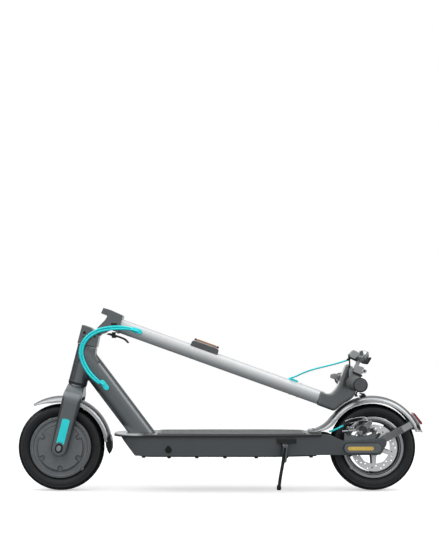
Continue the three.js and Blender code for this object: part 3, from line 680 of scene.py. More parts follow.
def studio():
    """A pale floor, a sky dome and soft boxes."""
    bm = bmesh.new()
    bmesh.ops.create_grid(bm, x_segments=2, y_segments=2, size=30)
    floor = new_object("floor", bm)
    floor.location = (0, 0, -0.0005)
    pale = material("pale_floor", (0.78, 0.78, 0.78), 0.9, vary=0.004, grain=2, spread=0.02)
    glow = pale.node_tree.nodes["Principled BSDF"].inputs
    glow["Emission Color"].default_value = (1, 1, 1, 1)
    glow["Emission Strength"].default_value = 0.5
    floor.data.materials.append(pale)
    floor.visible_glossy = False
    floor.visible_diffuse = False
    sky()
    area_light("key", (-1.3, -1.7, 2.6), (0, 0, 0.2), (3.0, 1.6), 20)
    area_light("top", (0.2, 0.4, 2.4), (0, 0, 0.1), (2.8, 1.4), 8)
    area_light("right", (2.0, -0.8, 1.7), (-0.1, 0, 0.2), (2.2, 2.4), 28)
    area_light("left", (-2.3, -0.4, 1.5), (-0.3, 0, 0.2), (1.6, 1.1), 9)
    bpy.context.scene.view_settings.view_transform = "Standard"


# how bright the dome is from down to up, along Y and along X
SKY_LEVELS = [(0.0, 0.17), (0.17, 0.24), (0.36, 0.52), (0.5, 0.92), (0.6, 1.0), (1.0, 1.0)]
BACK_LEVELS = [(0.0, 0.66), (0.3, 0.74), (0.46, 1.0), (0.7, 1.0), (0.8, 0.35), (0.95, 0.35),
               (0.985, 0.95), (1.0, 1.0)]
SIDE_LEVELS = [(0.0, 0.12), (0.1, 0.16), (0.2, 1.0), (0.8, 1.0), (0.9, 0.16), (1.0, 0.12)]


def tinted(level):
    """A grey that turns slightly blue as it darkens."""
    tint = 0.12 * (1 - level)
    return (level * (1 - tint), level, level * (1 + tint * 0.6), 1)


def sky():
    """A dome that is bright above, dim below and behind, and plain white as a backdrop."""
    world = bpy.data.worlds.new("studio")
    bpy.context.scene.world = world
    world.use_nodes = True
    world.node_tree.nodes.clear()
    new, link = tools_of(world)
    split = new("SeparateXYZ")
    dome = new("Background")
    plain = new("Background", Color=(1, 1, 1, 1), Strength=1.0)
    mix = new("MixShader")
    link(new("TexCoord").outputs["Generated"], split.inputs["Vector"])

    def shades(socket, levels):
        reach = new("MapRange", From_Min=-1)
        ramp = new("ValToRGB")
        stops_of(ramp, [(position, tinted(level)) for position, level in levels])
        link(split.outputs[socket], reach.inputs["Value"])
        link(reach.outputs["Result"], ramp.inputs["Fac"])
        return ramp.outputs["Color"]

    both = new("Math")
    both.operation = "MULTIPLY"
    link(shades("Y", BACK_LEVELS), both.inputs[0])
    link(shades("X", SIDE_LEVELS), both.inputs[1])
    link(shades("Z", SKY_LEVELS), dome.inputs["Color"])
    link(both.outputs["Value"], dome.inputs["Strength"])
    link(new("LightPath").outputs["Is Camera Ray"], mix.inputs["Fac"])
    link(dome.outputs["Background"], mix.inputs[1])
    link(plain.outputs["Background"], mix.inputs[2])
    link(mix.outputs["Shader"], new("OutputWorld").inputs["Surface"])


# ---- wheels ----
def tread(a, r, y):
    """How far the tyre's pattern sinks below its surface."""
    width = abs(y)
    if r < TREAD_START:
        return 0.0
    grooves = 1.6 if 1.0 < width < 2.6 or 7.4 < width < 9.0 else 0.0
    turn = (a * TREAD_BLOCKS / (2 * math.pi) + y * 0.045) % 1.0
    sipe = 1.5 if turn < 0.2 and (width > 9.0 or 2.6 < width < 6.2) else 0.0
    fade = min(1.0, max(0.0, (r - TREAD_START) / 2))
    return max(grooves, sipe) * fade


def tyre(name, node, body, place):
    half = [(80, 15), (81, 17.6), (84, 20.6), (88, 23), (92, 24.4), (96, 24.6), (100, 23.9), (104, 21.8),
            (107, 18.8), (109.6, 14), (111.2, 9), (112, 4), (112, 0)]
    side = [(p.x, p.y) for p in catmull([(r, y, 0) for r, y in half], 46)]
    side = [(min(r, TYRE_RADIUS), y + ridge(r)) for r, y in side]
    profile = side + [(r, -y) for r, y in reversed(side[:-1])]
    finish = "tyre_" + node.split("_")[0]
    piece(lathe(profile, 264, dent=tread), name, body, finish, [node], sharp=50, at=place)


def ridge(r):
    """Thin moulded rings on the tyre's wall."""
    return sum(height * max(0.0, 1 - abs(r - at) / 1.1) for at, height in ((86.5, 0.4), (101.8, 0.8)))


def front_wheel():
    tyre("front_tyre_rubber", "front_tyre", "front_wheel", AT_FRONT)
    left = [(6.4, 24), (30, 24.2), (58.5, 24.2), (61, 23.6), (62.4, 21.6), (63, 21.2), (66, 21), (69.5, 21.2),
            (70.4, 22), (71.2, 23.4), (72.4, 23.8), (74.6, 23.8), (75.2, 23.2), (75.8, 23.8), (78, 23.4),
            (79.2, 22), (RIM_RADIUS, 20)]
    profile = left + [(r, -y) for r, y in reversed(left)]
    piece(lathe(profile, 160), "hub_motor_shell", "front_wheel", "hub", ["hub_motor"], sharp=30,
          at=AT_FRONT)
    cover = eased(cover_disc(58.3, 24, 12.6, -27.2, -24.6), 0.5, 3)
    gasket = cover_disc(59.7, 21, 9.8, -24.7, -24.1)
    piece(cover, "motor_cover_plate", "front_wheel", "hub", ["motor_cover"], at=AT_FRONT)
    piece(gasket, "motor_cover_gasket", "front_wheel", "black", at=AT_FRONT)
    turns = [(k + 0.5) * 2 * math.pi / COVER_SCREWS for k in range(COVER_SCREWS)]
    screws = [screw(3.2, 52.6 * math.cos(a), -24.1, 52.6 * math.sin(a), height=1.8) for a in turns]
    piece(joined(*screws), "motor_cover_screws", "front_wheel", "hub", at=AT_FRONT)


def cover_disc(radius, length, width, low, high):
    """The hub's cover outline: a disc with six round-ended notches and a hole for the axle."""
    slots = []
    for k in range(COVER_SCREWS):
        turn = Matrix.Rotation(-(k + 0.5) * 2 * math.pi / COVER_SCREWS, 4, "Y")
        slots.append(placed(prism(stadium(length, width, 14, 58.5, 0), low - 5, high + 5), turn))
    return cut(prism(circle(radius, 144), low, high), prism(circle(9.2, 48), low - 5, high + 5),
               joined(*slots))


def rear_wheel():
    tyre("rear_tyre_rubber", "rear_tyre", "rear_wheel", AT_REAR)
    lip = [(70.6, 19.4), (71.8, 21.8), (73.4, 22.6), (75.4, 22.2), (77, 22.6), (79, 21.6), (RIM_RADIUS, 18)]
    bed = [(69.9, 16), (65.8, 9), (64.8, 0), (65.8, -9), (69.9, -16)]
    outline = lip + [(RIM_RADIUS, -18)] + [(r, -y) for r, y in reversed(lip[:-1])] + bed[::-1]
    piece(lathe(outline, 160), "rim_barrel", "rear_wheel", "rim", ["rear_rim"], sharp=30,
          at=AT_REAR)
    liner = [(r - 0.3, y) for r, y in bed] + [(r - 1.3, y) for r, y in reversed(bed)]
    piece(lathe(liner, 160), "rim_liner", "rear_wheel", "barrel", at=AT_REAR)
    spokes = [turned([(15, -20.2), (16.5, -12), (16.5, 12), (15, 20.2)], 48)]
    for k in range(SPOKES):
        bar = tube([(14, 0, 0), (34, 0, 0), (52, 0, 0), (66, 0, 0)], waist, 24, 24)
        spokes.append(placed(bar, Matrix.Rotation(k * 2 * math.pi / SPOKES + math.radians(18), 4, "Y")))
    star = cut(cast(joined(*spokes), 1.3, 5), prism(circle(6.6, 48), -60, 60))
    piece(star, "rim_spokes", "rear_wheel", "spoke", at=AT_REAR)
    rotor()


def waist(t):
    """The radius of a spoke, thinnest at its middle."""
    return 8.6 - 2.6 * math.sin(t * math.pi)


def rotor():
    """The drilled brake disc, its carrier and bolts."""
    tools = [prism(circle(8, 32), -36, -30)]
    for k in range(DISC_HOLES):
        a = k * 2 * math.pi / DISC_HOLES
        r = (55, 50.6, 46.4)[k % 3]
        tools.append(prism(circle(1.9, 12, r * math.cos(a), r * math.sin(a)), -36, -30))
    for k in range(SPOKES):
        a = math.pi / 2 + k * 2 * math.pi / SPOKES
        window = [(21, -0.34), (21, 0.34), (41.2, 0.5), (42.4, 0), (41.2, -0.5)]
        shape = rounded([(r * math.cos(a + d), r * math.sin(a + d)) for r, d in window], 4, 6)
        tools.append(prism(shape, -36, -30))
    disc = eased(cut(prism(circle(60, 144), -33.9, -32.1), joined(*tools)), 0.25, 2)
    piece(disc, "brake_disc", "rear_wheel", "rotor", ["brake_rotor"], sharp=30, at=AT_REAR)
    turns = [math.pi / 2 + (k + 0.5) * 2 * math.pi / SPOKES for k in range(SPOKES)]
    bolts = [screw(3.6, 15 * math.cos(a), -33.9, 15 * math.sin(a), height=2.4) for a in turns]
    piece(joined(*bolts), "brake_disc_bolts", "rear_wheel", "bolt", at=AT_REAR)
    piece(pipe(15.6, 6.7, -31.4, -20, 48), "rear_hub_flange", "rear_wheel", "mid", at=AT_REAR)


# ---- fork, fold base and front fender ----
def fork():
    front = [(0, 165), (22, 165, 6), (31, 158, 10), (42, 147, 12), (50, 128, 14), (50.4, 60), (50.4, -22),
             (35.2, -22), (35.2, 122, 8), (31, 137, 8), (0, 138)]
    half = [p for p in rounded(front, 0, 10) if p.x > 0.01]
    outline = half + [Vector((-p.x, p.y)) for p in reversed(half)]
    blades = prism(outline, -60, 60, "YZ")
    low = arc(21, 180, 360, 32)
    edge = [(21, 0, 0), (22.4, 45, 0), (23.8, 75, 0), (24.6, 100, 0), (24.8, 122, 0), (24, 142, 0),
            (22.4, 154, 0), (21.6, 166, 0)]
    right = [(p.x, p.y) for p in catmull(edge, 40)][1:]
    left = [(-x, z) for x, z in reversed(right)]
    blades = common(blades, prism([*low, *right, *left], -70, 70))
    crowned = rounded([(-25.4, -50.4), (25.4, -50.4), (25.4, 50.4), (-25.4, 50.4)], 14, 10)
    blades = common(blades, prism(crowned, -40, 180, "XY"))
    collar = turned([(22.6, 160), (23, 163), (23, 170), (22, 171.4)], 64, "Z")
    body = cast(joined(blades, collar), 1.35, 14)
    badge_seat = plate([(-10.6, 12), (10.6, 12), (10.6, 77.6), (-10.6, 77.6)], 5, 49.2, 60)
    axle_seat = prism(upright(24, 20), 49, 60)
    body = cut(body, joined(mirrored(badge_seat), badge_seat), joined(mirrored(axle_seat), axle_seat),
               prism(circle(6.3, 32), -60, 60))
    steerer = turned([(14, 160), (14, 296.4)], 48, "Z")
    piece(joined(body, steerer), "fork_crown", "fork", "grey", ["fork"], sharp=34, at=AT_STEER)
    for side, word in ((-1, "left"), (1, "right")):
        fork_side(side, word)
    caps = [eased(prism(upright(15, 11.4), *sorted((side * 49.3, side * 55.3))), 1.4) for side in (-1, 1)]
    rod = turned([(5.6, -49.4), (6, -48.6), (6, 48.6), (5.6, 49.4)], 32)
    piece(joined(*caps, rod), "front_axle_caps", "fork", "light", ["front_axle"], at=AT_STEER)
    piece(pipe(24.6, 22.9, 166.8, 171.7, 64, "Z"), "crown_race", "fork", "black", at=AT_STEER)


def upright(length, width):
    """A stadium whose long side stands upright."""
    return [Vector((p.y, p.x)) for p in stadium(length, width, 14)]


def fork_side(side, word):
    """The coloured badge and the axle's seat on one blade."""
    shape = [(-10.2, 12.4), (-6, 12.4), (-6, 15.6, 3), (6, 15.6, 3), (6, 12.4), (10.2, 12.4), (10.2, 77.2, 5),
             (-10.2, 77.2, 5)]
    badge = plate(shape, 0, *sorted((side * 49.2, side * 51.2)), 0.6)
    piece(badge, f"fork_badge_{word}", "fork", "cyan", [f"fork_insert_{word}"], at=AT_STEER)
    seat = cut(prism(upright(23.4, 19.4), *sorted((side * 49.1, side * 50.6))),
               prism(upright(15.8, 12.2), *sorted((side * 45, side * 60))))
    piece(eased(seat, 0.4), f"fork_axle_seat_{word}", "fork", "black", at=AT_STEER)


def fold_base():
    body = plate([(-361.3, 430.6, 2), (-338.6, 423.2, 4), (-317.2, 403.6, 2), (-323.8, 370.6),
                  (-373.6, 382.8)], 0, -23, 23)
    neck = plate([(-329, 414), (-323.6, 418.6), (-308, 408.8), (-315, 401.6), (-323, 401)], 0, -10.8, 10.8)
    lug = prism(circle(9.8, 48, HINGE.x / MM, HINGE.z / MM), -10.8, 10.8)
    notch = prism([(-380, 408), (-349.5, 408), (-349.5, 440), (-380, 440)], -11.4, 11.4)
    slot = joined(*[prism(stadium(9, 3, 8, -338.5, 418), a, b) for a, b in ((-30, -21.5), (21.5, 30))])
    body = eased(cut(body, notch), 2.6, 4)
    body = cut(body, slot)
    link = eased(boolean(lug, "UNION", neck), 1.0)
    piece(joined(body, link), "fold_base_casting", "fork", "grey", ["fold_base"])
    places = ((-355, 410, 4.2), (-358, 400, 2.2), (-340, 395.5, 2.6), (-328, 399, 2.6))
    screws = [screw(r, x, side * 22.9, z, side, 1.4) for x, z, r in places for side in (-1, 1)]
    piece(joined(*screws), "fold_base_screws", "fork", "bolt")
    pin = turned([(3.4, -24.6), (4, -24.2), (4, 24.2), (3.4, 24.6)], 32, "Y", HINGE.x / MM, 0, HINGE.z / MM)
    piece(pin, "fold_hinge_pin", "fork", "zinc", ["hinge_pin"])


HALF_ACROSS = [(30, 1.0), (29.9, 0.9), (29.4, 0.75), (28.3, 0.58), (26.4, 0.43), (23.4, 0.3), (19.2, 0.19),
               (14, 0.1), (8, 0.03)]
ACROSS = [(-y, share) for y, share in HALF_ACROSS] + [(0, 0)] + HALF_ACROSS[::-1]


def arc_stations(centre, radius, start_deg, end_deg, count, depth):
    rows = []
    for i in range(count):
        t = i / (count - 1)
        a = math.radians(start_deg + t * (end_deg - start_deg))
        rows.append((centre.x / MM + radius * math.cos(a), centre.z / MM + radius * math.sin(a), a, depth(t)))
    return rows


def beads(stations, half_width, radius):
    """The rolled edges of a fender, as one rod along each side."""
    rods = []
    for side in (-1, 1):
        y = side * (half_width - radius * 0.55)
        line = [(x - depth * math.cos(a), y, z - depth * math.sin(a)) for x, z, a, depth in stations]
        rods.append(tube(line, radius, len(line) * 3, 10))
    return rods


def front_fender():
    stations = arc_stations(FRONT, FENDER_RADIUS, 7, 121.4, 120,
                            lambda t: 15.5 - 10 * max(0.0, t - 0.82) / 0.18)
    x, z, a, _ = stations[-1]
    stations.append((x - 1.2, z - 0.6, a, 4.2))
    shell = joined(skin(stations, ACROSS, 2.2), *beads(stations, 30, 1.2))
    piece(shell, "front_fender_shell", "fork", "chrome", ["front_fender"], sharp=60)
    x, z = FRONT.x / MM, FRONT.z / MM
    outer = [(p.x, p.y) for p in arc(131.6, 13, -2, 10, x, z)]
    inner = [(p.x, p.y) for p in arc(118.4, 2, 11, 6, x, z)]
    side = [*outer, (x + 129.4, z - 11), (x + 127.2, z - 17), (x + 122.4, z - 8), *inner]
    flap = eased(prism(side, -28.6, 28.6), 1.6)
    piece(flap, "mudflap_rubber", "fork", "rubber", ["mudflap"])


# ---- main frame and deck ----
DOWN_TUBE_ANGLE = math.atan2(199.4, 152.4)


def main_frame():
    head = placed(turned([(24.5, 172.2), (24.5, 271.6)], 96, "Z"), AT_STEER)
    section = rounded([(-25.5, -29), (25.5, -29), (25.5, 29), (-25.5, 29)], 25, 14)
    down = prism(section, -20, 300, "XY")
    turn = Matrix.Rotation(math.pi / 2 + DOWN_TUBE_ANGLE, 4, "Y")
    down = placed(down, Matrix.Translation((-0.352, 0, 0.341)) @ turn @ Matrix.Rotation(math.pi / 2, 4, "Z"))
    gusset = plate([(-350, 376.8), (-325, 370.2, 3), (-328, 352, 10), (-316, 335), (-345, 300)], 0, -23.3,
                   23.3, steps=10)
    ahead = placed(prism([(-60, 60), (-9, 60), (-9, 400), (-60, 400)], -60, 60), AT_STEER)
    down = cut(joined(down, gusset), ahead)
    body = cast(joined(head, down), 1.5, 16)
    below = prism([(-500, -100), (200, -100), (200, DECK_TOP + 0.3), (-500, DECK_TOP + 0.3)], -80, 80)
    over = placed(prism([(-60, 271.6), (60, 271.6), (60, 330), (-60, 330)], -60, 60), AT_STEER)
    under = placed(prism([(-60, 110), (30, 110), (30, 172.2), (-60, 172.2)], -60, 60), AT_STEER)
    bore = placed(turned([(18.3, 100), (18.3, 400)], 48, "Z"), AT_STEER)
    body = cut(body, below, over, under, bore)
    piece(body, "frame_tube", "frame", "grey", ["main_frame"], sharp=40)
    rings = []
    for low in (172.3, 268.2):
        outer = turned([(24.9, low), (25.2, low + 0.5), (25.2, low + 2.7), (24.9, low + 3.2)], 64, "Z")
        rings.append(cut(outer, turned([(24.3, low - 2), (24.3, low + 6)], 64, "Z")))
    piece(joined(*rings), "headset_rings", "frame", "dark", at=AT_STEER)
    kept("headset_bearings", "steel")


def both_sides(half):
    """A plan made of its left half and the same mirrored."""
    return half + [(x, -y, *r) for x, y, *r in reversed(half)]


DECK_PLAN = both_sides([(-277, -22, 14), (-256, -56, 24), (-206, -75, 40), (150, -75, 30), (262, -54, 8)])
TRAY_PLAN = both_sides([(-256, -52, 20), (-200, -71, 40), (150, -71, 30), (262, -50)])
MAT_PLAN = both_sides([(-162, -62, 14), (-20, -70, 10), (150, -70, 20), (222, -56, 12)])
COVER_PLAN = both_sides([(-208, -52, 18), (-180, -66, 10), (150, -66, 20), (248, -47, 6)])
ARM = [(250, 95), (402, 95, 10), (413, 96, 6), (421, 111, 4), (427, 119, 4), (429, 128, 5), (424, 137, 6),
       (415, 139.5, 5), (405, 137, 4), (397, 134, 4), (322, 130, 8), (300, 138, 8), (282, 147, 8),
       (250, 147.5)]


def deck():
    side = [(-257.5, 143.8), (-218.3, 95, 3), (262, 95), (262, 143.8)]
    tray = common(plate(TRAY_PLAN, 0, 60, 150, plane="XY", steps=12), plate(side, 0, -90, 90))
    inner_side = [(-248, 140), (-210.5, 80), (258, 80), (258, 140)]
    inner_plan = [(x * 0.975 + 2, y * 0.94, *r) for x, y, *r in TRAY_PLAN]
    hollow = common(plate(inner_plan, 0, 60, 141, plane="XY", steps=12), plate(inner_side, 0, -90, 90))
    piece(eased(cut(tray, hollow), 1.4), "deck_body", "frame", "deck", ["deck_tray"], sharp=50)
    arms = []
    for low, high in ((-50, -44), (44, 50)):
        bore = prism(circle(6.3, 32, REAR.x / MM, REAR.z / MM), -70, 70)
        arms.append(eased(cut(plate(ARM, 0, low, high, steps=6), bore), 1.1))
    piece(joined(*arms), "rear_arms", "frame", "deck")
    top = plate(DECK_PLAN, 0, 145.3, DECK_TOP, 1.8, 4, plane="XY", steps=14)
    piece(top, "deck_top_plate", "frame", "lip", sharp=50)
    # A black band just under the top plate's edge: painted shadow standing in for the shade below the plate's
    # overhang.
    strip = [(x * 0.998, y * 0.993, *r) for x, y, *r in DECK_PLAN]
    piece(plate(strip, 0, 142.2, 145.5, plane="XY", steps=14), "deck_painted_shadow_band", "frame", "black")
    mat()
    piece(plate(COVER_PLAN, 0, 91.9, 93.8, 0.6, plane="XY", steps=6), "bottom_plate", "frame", "black",
          ["bottom_cover"])
    bolts = []
    for x in (-197, -131, -60, 12, 92, 170, 234):
        y = 47 if x < -190 else 60 if x < 160 else 52 if x < 200 else 42
        bolts += [turned([(4.8, 92), (4.8, 89.4), (3.8, 88), (2.0, 88), (1.8, 89)], 20, "Z", x, share * y)
                  for share in (-1, 1)]
    piece(joined(*bolts), "bottom_plate_bolts", "frame", "bolt")
    kept("battery_pack", "battery", 2.0)
    kept("controller", "steel", 1.5)


def mat():
    """The rubber mat with shallow raised grip ribs."""
    base = plate(MAT_PLAN, 0, DECK_TOP + 0.3, 151.4, 0.5, plane="XY")
    ribs = []
    for k in range(MAT_RIBS):
        y = -56 + 7 * k
        start = -154 + max(0, abs(y) - 40) * 0.25
        end = 214 - max(0.0, abs(y) - 44) * 2.2
        ribs.append(prism(stadium(end - start, 3.6, 6, (start + end) / 2, y), 151.2, 151.7, "XY"))
    ribs = eased(joined(*ribs), 0.25, 2)
    piece(joined(base, ribs), "deck_grip_mat", "frame", "mat", ["deck_mat"])


# ---- rear end ----
def rear_fender():
    stations = [(REAR.x / MM + 129, 153.4, math.radians(24), 3),
                (REAR.x / MM + 127.4, 158.4, math.radians(26), 9)]
    stations += arc_stations(REAR, FENDER_RADIUS, 20, 141, 120, lambda t: 15.5)[1:]
    tail = [(289, 190.6, 140, 15), (279, 178.8, 135, 14.5), (268, 170, 122, 12), (256, 163.4, 112, 8.5),
            (243, 158.4, 105, 5.5), (231, 155.8, 94, 3.4)]
    last = stations[-1]
    curve = catmull([(last[0], last[1], math.degrees(last[2])), *[(x, z, d) for x, z, d, _ in tail]], 32)
    depths = catmull([(last[3], 0, 0), *[(d, 0, 0) for *_, d in tail]], 32)
    stations += [(p.x, p.y, math.radians(p.z), d.x) for p, d in zip(curve, depths)][1:]
    wide = [(y * 32 / 30, share) for y, share in ACROSS]
    seat = [(497, 197, 1), (501.6, 196.8), (520.4, 170), (524, 158), (516, 160), (504, 175)]
    foot = plate([(232, 149.9), (262, 149.9), (262, 157), (232, 157)], 1, -26, 26)
    inside = prism(circle(129.5, 96, REAR.x / MM, REAR.z / MM), -60, 60)
    seat = eased(cut(joined(plate(seat, 0, -14, 14), foot), inside), 1.2)
    shell = joined(skin(stations, wide, 2.2), *beads(stations, 32, 1.3), seat)
    piece(shell, "rear_fender_shell", "frame", "chrome", ["rear_fender"], sharp=60)
    screws = [turned([(3.4, 157), (3.4, 158.2), (2.6, 158.9), (1.5, 158.9), (1.3, 158.1)], 20, "Z", 244, y)
              for y in (-15, 15)]
    piece(joined(*screws), "rear_fender_screws", "frame", "bolt")
    tip = plate([(505, 165.5), (513, 172.4), (518.4, 165), (518.6, 157)], 0.6, -30, 30, 0.8)
    piece(tip, "rear_fender_tip", "frame", "black")
    light = [(502.6, 199.2), (506, 201.3), (526.1, 176.5), (526.8, 171.2), (523.2, 170.2)]
    lens = plate(light, 1.4, -16.8, 16.8, 1.3, steps=6)
    piece(lens, "tail_light_lens", "frame", "red", ["tail_light"])
    piece(eased(cad_copy("fender_catch"), 0.6, 2), "fender_catch_hook", "frame", "black", ["fender_catch"])
    stay()


def stay():
    piece(eased(cad_copy("fender_stay"), 0.8, 2), "fender_stay_strut", "frame", "stay", ["fender_stay"])
    sleeves = []
    for side in (-1, 1):
        shape = [(474, 153.3, 1), (497, 166.2, 2), (489.2, 179.6, 2), (466.5, 166.4, 1)]
        sleeves.append(plate(shape, 0, *sorted((side * 38.8, side * 44.0)), 0.8))
    piece(joined(*sleeves), "fender_stay_ends", "frame", "pale")
    bolts = [screw(4.2, 414.5, side * 43.4, 131.5, side, 2.0) for side in (-1, 1)]
    piece(joined(*bolts), "fender_stay_bolts", "frame", "bolt")


def side_covers():
    x, _, z = middle("side_cover_left") / MM
    lens_x, _, lens_z = middle("side_reflector_left") / MM
    for side, word in ((-1, "left"), (1, "right")):
        body = prism(stadium(95, 24.8, 16, x, z), -59.6, -50.4)
        pocket = prism(stadium(70.4, 13.8, 16, lens_x, lens_z), -70, -57.2)
        body = eased(cut(body, pocket, prism(circle(10.5, 32, REAR.x / MM, REAR.z / MM), -55.2, -40)), 1.3, 4)
        gasket = prism(stadium(98, 27.8, 16, x, z), -51.8, -50.2)
        rim = cut(prism(stadium(69.8, 13.2, 16, lens_x, lens_z), -59.7, -57.2),
                  prism(stadium(66.4, 9.8, 16, lens_x, lens_z), -70, -50))
        lens = eased(prism(stadium(66, 9.4, 16, lens_x, lens_z), -59.5, -57.2), 0.8)
        made = [body, gasket, eased(rim, 0.4, 2), lens]
        if side > 0:
            flipped = [mirrored(o) for o in made]
            for o in made:
                bpy.data.objects.remove(o)
            made = flipped
        piece(made[0], f"arm_cover_{word}", "frame", "grey", [f"side_cover_{word}"], sharp=30)
        piece(made[1], f"arm_cover_gasket_{word}", "frame", "black")
        piece(made[2], f"reflector_rim_{word}", "frame", "frame")
        piece(made[3], f"reflector_lens_{word}", "frame", "amber", [f"side_reflector_{word}"])
    kept("rear_axle", "zinc", 0.6)


def caliper():
    bracket = [(319.5, 124), (319.5, 151, 2), (334, 149, 5), (344, 145, 8), (356, 143, 8), (370, 143, 8),
               (384, 146, 8), (394, 152, 6), (402.4, 158.4, 1.5), (404.5, 157.5, 1.5), (401, 138, 2),
               (399, 124)]
    piece(plate(bracket, 0, -43.4, -39, 0.9), "caliper_mount_plate", "frame", "grey", ["caliper_bracket"])
    turn = Matrix.Rotation(-math.radians(CALIPER_TURN), 4, "Y")
    body = plate([(44, -17), (70, -15), (70, 15), (44, 17)], 5, -46, -36.4, 1.4)
    back = plate([(44, -14), (72, -12), (72, 12), (44, 14)], 5, -29.6, -25, 1.2)
    bridge = plate([(63, -10), (72, -9), (72, 9), (63, 10)], 2, -37, -29, 0.8)
    pads = plate([(46, -10), (60, -11), (60, 11), (46, 10)], 3, -36.2, -34.4)
    drum = turned([(9.4, -51.4), (10, -50.6), (10, -46), (11.4, -45.4)], 40, "Y", 56, 0, 0)
    screws = [turned([(2.9, -48.8), (2.9, -46), (3.4, -45.6)], 20, "Y", 60, 0, z) for z in (-13, 13)]
    parts = [placed(placed(o, turn), AT_REAR) for o in (body, back, bridge)]
    piece(joined(*parts), "caliper_housing", "frame", "dark", ["caliper_body"])
    piece(placed(joined(pads, drum), turn), "caliper_drum", "frame", "bolt", at=AT_REAR)
    piece(placed(joined(*screws), turn), "caliper_screws", "frame", "zinc", at=AT_REAR)
    adjuster = tube([(318, -47, 170), (325, -47.4, 173.6), (334, -48, 176)], 4.4, 10, 20)
    piece(adjuster, "cable_adjuster", "frame", "bolt")
    barrels = [tube([(314.6, -44, 155.6), (328.4, -44, 156.8)], 3.3, 6, 20),
               tube([(330.6, -44, 157.2), (350, -44, 158.8)], 3.6, 6, 20),
               tube([(386, -44, 163.6), (397.4, -44, 166.6)], 3.5, 6, 20)]
    wires = [tube([(321.8, -46, 180.9), (334.7, -45.6, 186.5), (352, -45.4, 190), (373, -45.4, 191),
                   (381, -45.2, 182)], 1.3, 40, 10),
             tube([(333, -47, 176), (350, -45.6, 180), (372, -45.4, 184), (388, -45.4, 180)], 1.1, 24, 10),
             spring((326, -45, 166), (345, -46, 163), 4.2, 0.9, 5)]
    piece(joined(*barrels, *wires), "caliper_fittings", "frame", "zinc")
    block = plate([(357, 172), (368, 172), (370, 185), (359, 187)], 2, -46, -38, 1.0)
    lugs = [turned([(4.6, -47.6), (5.2, -46.8), (5.2, -41)], 24, "Y", x, 0, z)
            for x, z in ((331, 150), (392, 157))]
    piece(joined(block, *lugs), "caliper_mount_bolts", "frame", "bolt")
    arm = [(356, 146.5, 5), (365, 147, 5), (392, 176.5, 4), (389, 184, 3), (383, 184, 3), (358, 160.5, 5),
           (353.5, 153, 4)]
    blade = plate(arm, 0, -50.8, -48, 0.9, 4)
    pivot = turned([(4.6, -53.6), (5.2, -53), (5.2, -47)], 32, "Y", 361, 0, 152)
    clamp = turned([(3.2, -54), (3.8, -53.4), (3.8, -47.2)], 24, "Y", 386, 0, 178)
    piece(joined(blade, pivot, clamp), "caliper_lever", "caliper_arm", "mid", ["caliper_arm"])


def kickstand():
    base = plate([(146, 127), (193, 127), (193, 138.6), (146, 138.6)], 2, -76, -71.3, 0.8)
    block = plate([(157, 100), (172, 102), (173, 130), (157, 130)], 3, -84, -75, 1.2)
    piece(joined(base, block), "kickstand_mount", "frame", "black", ["kickstand_bracket"])
    ends = []
    for x in (146.4, 192.6):
        end = plate([(x - 1.6, 128), (x + 1.6, 128), (x + 1.6, 139.4), (x - 1.6, 139.4)], 0.6, -76.6, -71.4)
        ends.append(eased(end, 0.3))
    piece(joined(*ends), "kickstand_mount_ends", "frame", "black")
    bolts = [screw(3.4, x, -83.6, z, height=1.2) for x, z in ((161.6, 122.5), (168.6, 111))]
    piece(joined(*bolts), "kickstand_bolts", "frame", "steel")
    leg = tube([(164, -90, 118), (161.6, -90.4, 100), (158, -93.4, 78), (151.4, -102, 46),
                (147.6, -107.4, 21)], lambda t: 4.5 - 0.5 * t, 50, 24)
    thick = plate([(158.5, 126), (173, 126), (167.6, 80), (155.4, 80)], 6, -93.2, -84.6, 2.0)
    foot = turned([(3, 14), (4.8, 14.6), (5.6, 17), (5.7, 20), (5.5, 23), (4.6, 26), (4.1, 27)], 32, "Z",
                  147.4, -107.6)
    piece(leg, "kickstand_rod", "kickstand", "bolt", ["kickstand_leg"])
    piece(thick, "kickstand_cheek", "kickstand", "dark")
    piece(foot, "kickstand_foot", "kickstand", "rubber")
    charge_port()


def charge_port():
    """The charging socket's rubber cap and the socket's rim behind it."""
    x, _, z = middle("charge_cap") / MM
    rim = pipe(8.6, 6.4, -71.9, -70.9, 48, "Y", x, 0, 110.8)
    piece(rim, "charge_socket_rim", "frame", "black")
    cap = turned([(7.6, -71.9), (7.6, -73.4), (6.8, -74.3), (4, -74.4)], 40, "Y", x, 0, 110.8)
    tab = plate([(-136, 114), (-128.6, 114), (-128.6, 121), (-136, 121)], 1.2, -73.6, -71.9, 0.5)
    ridge_bar = eased(prism(stadium(8, 1.8, 6, -132.3, 106.6), -75, -74), 0.3, 2)
    piece(joined(cap, tab, ridge_bar), "charge_port_cap", "charge_cap", "rubber", ["charge_cap"])


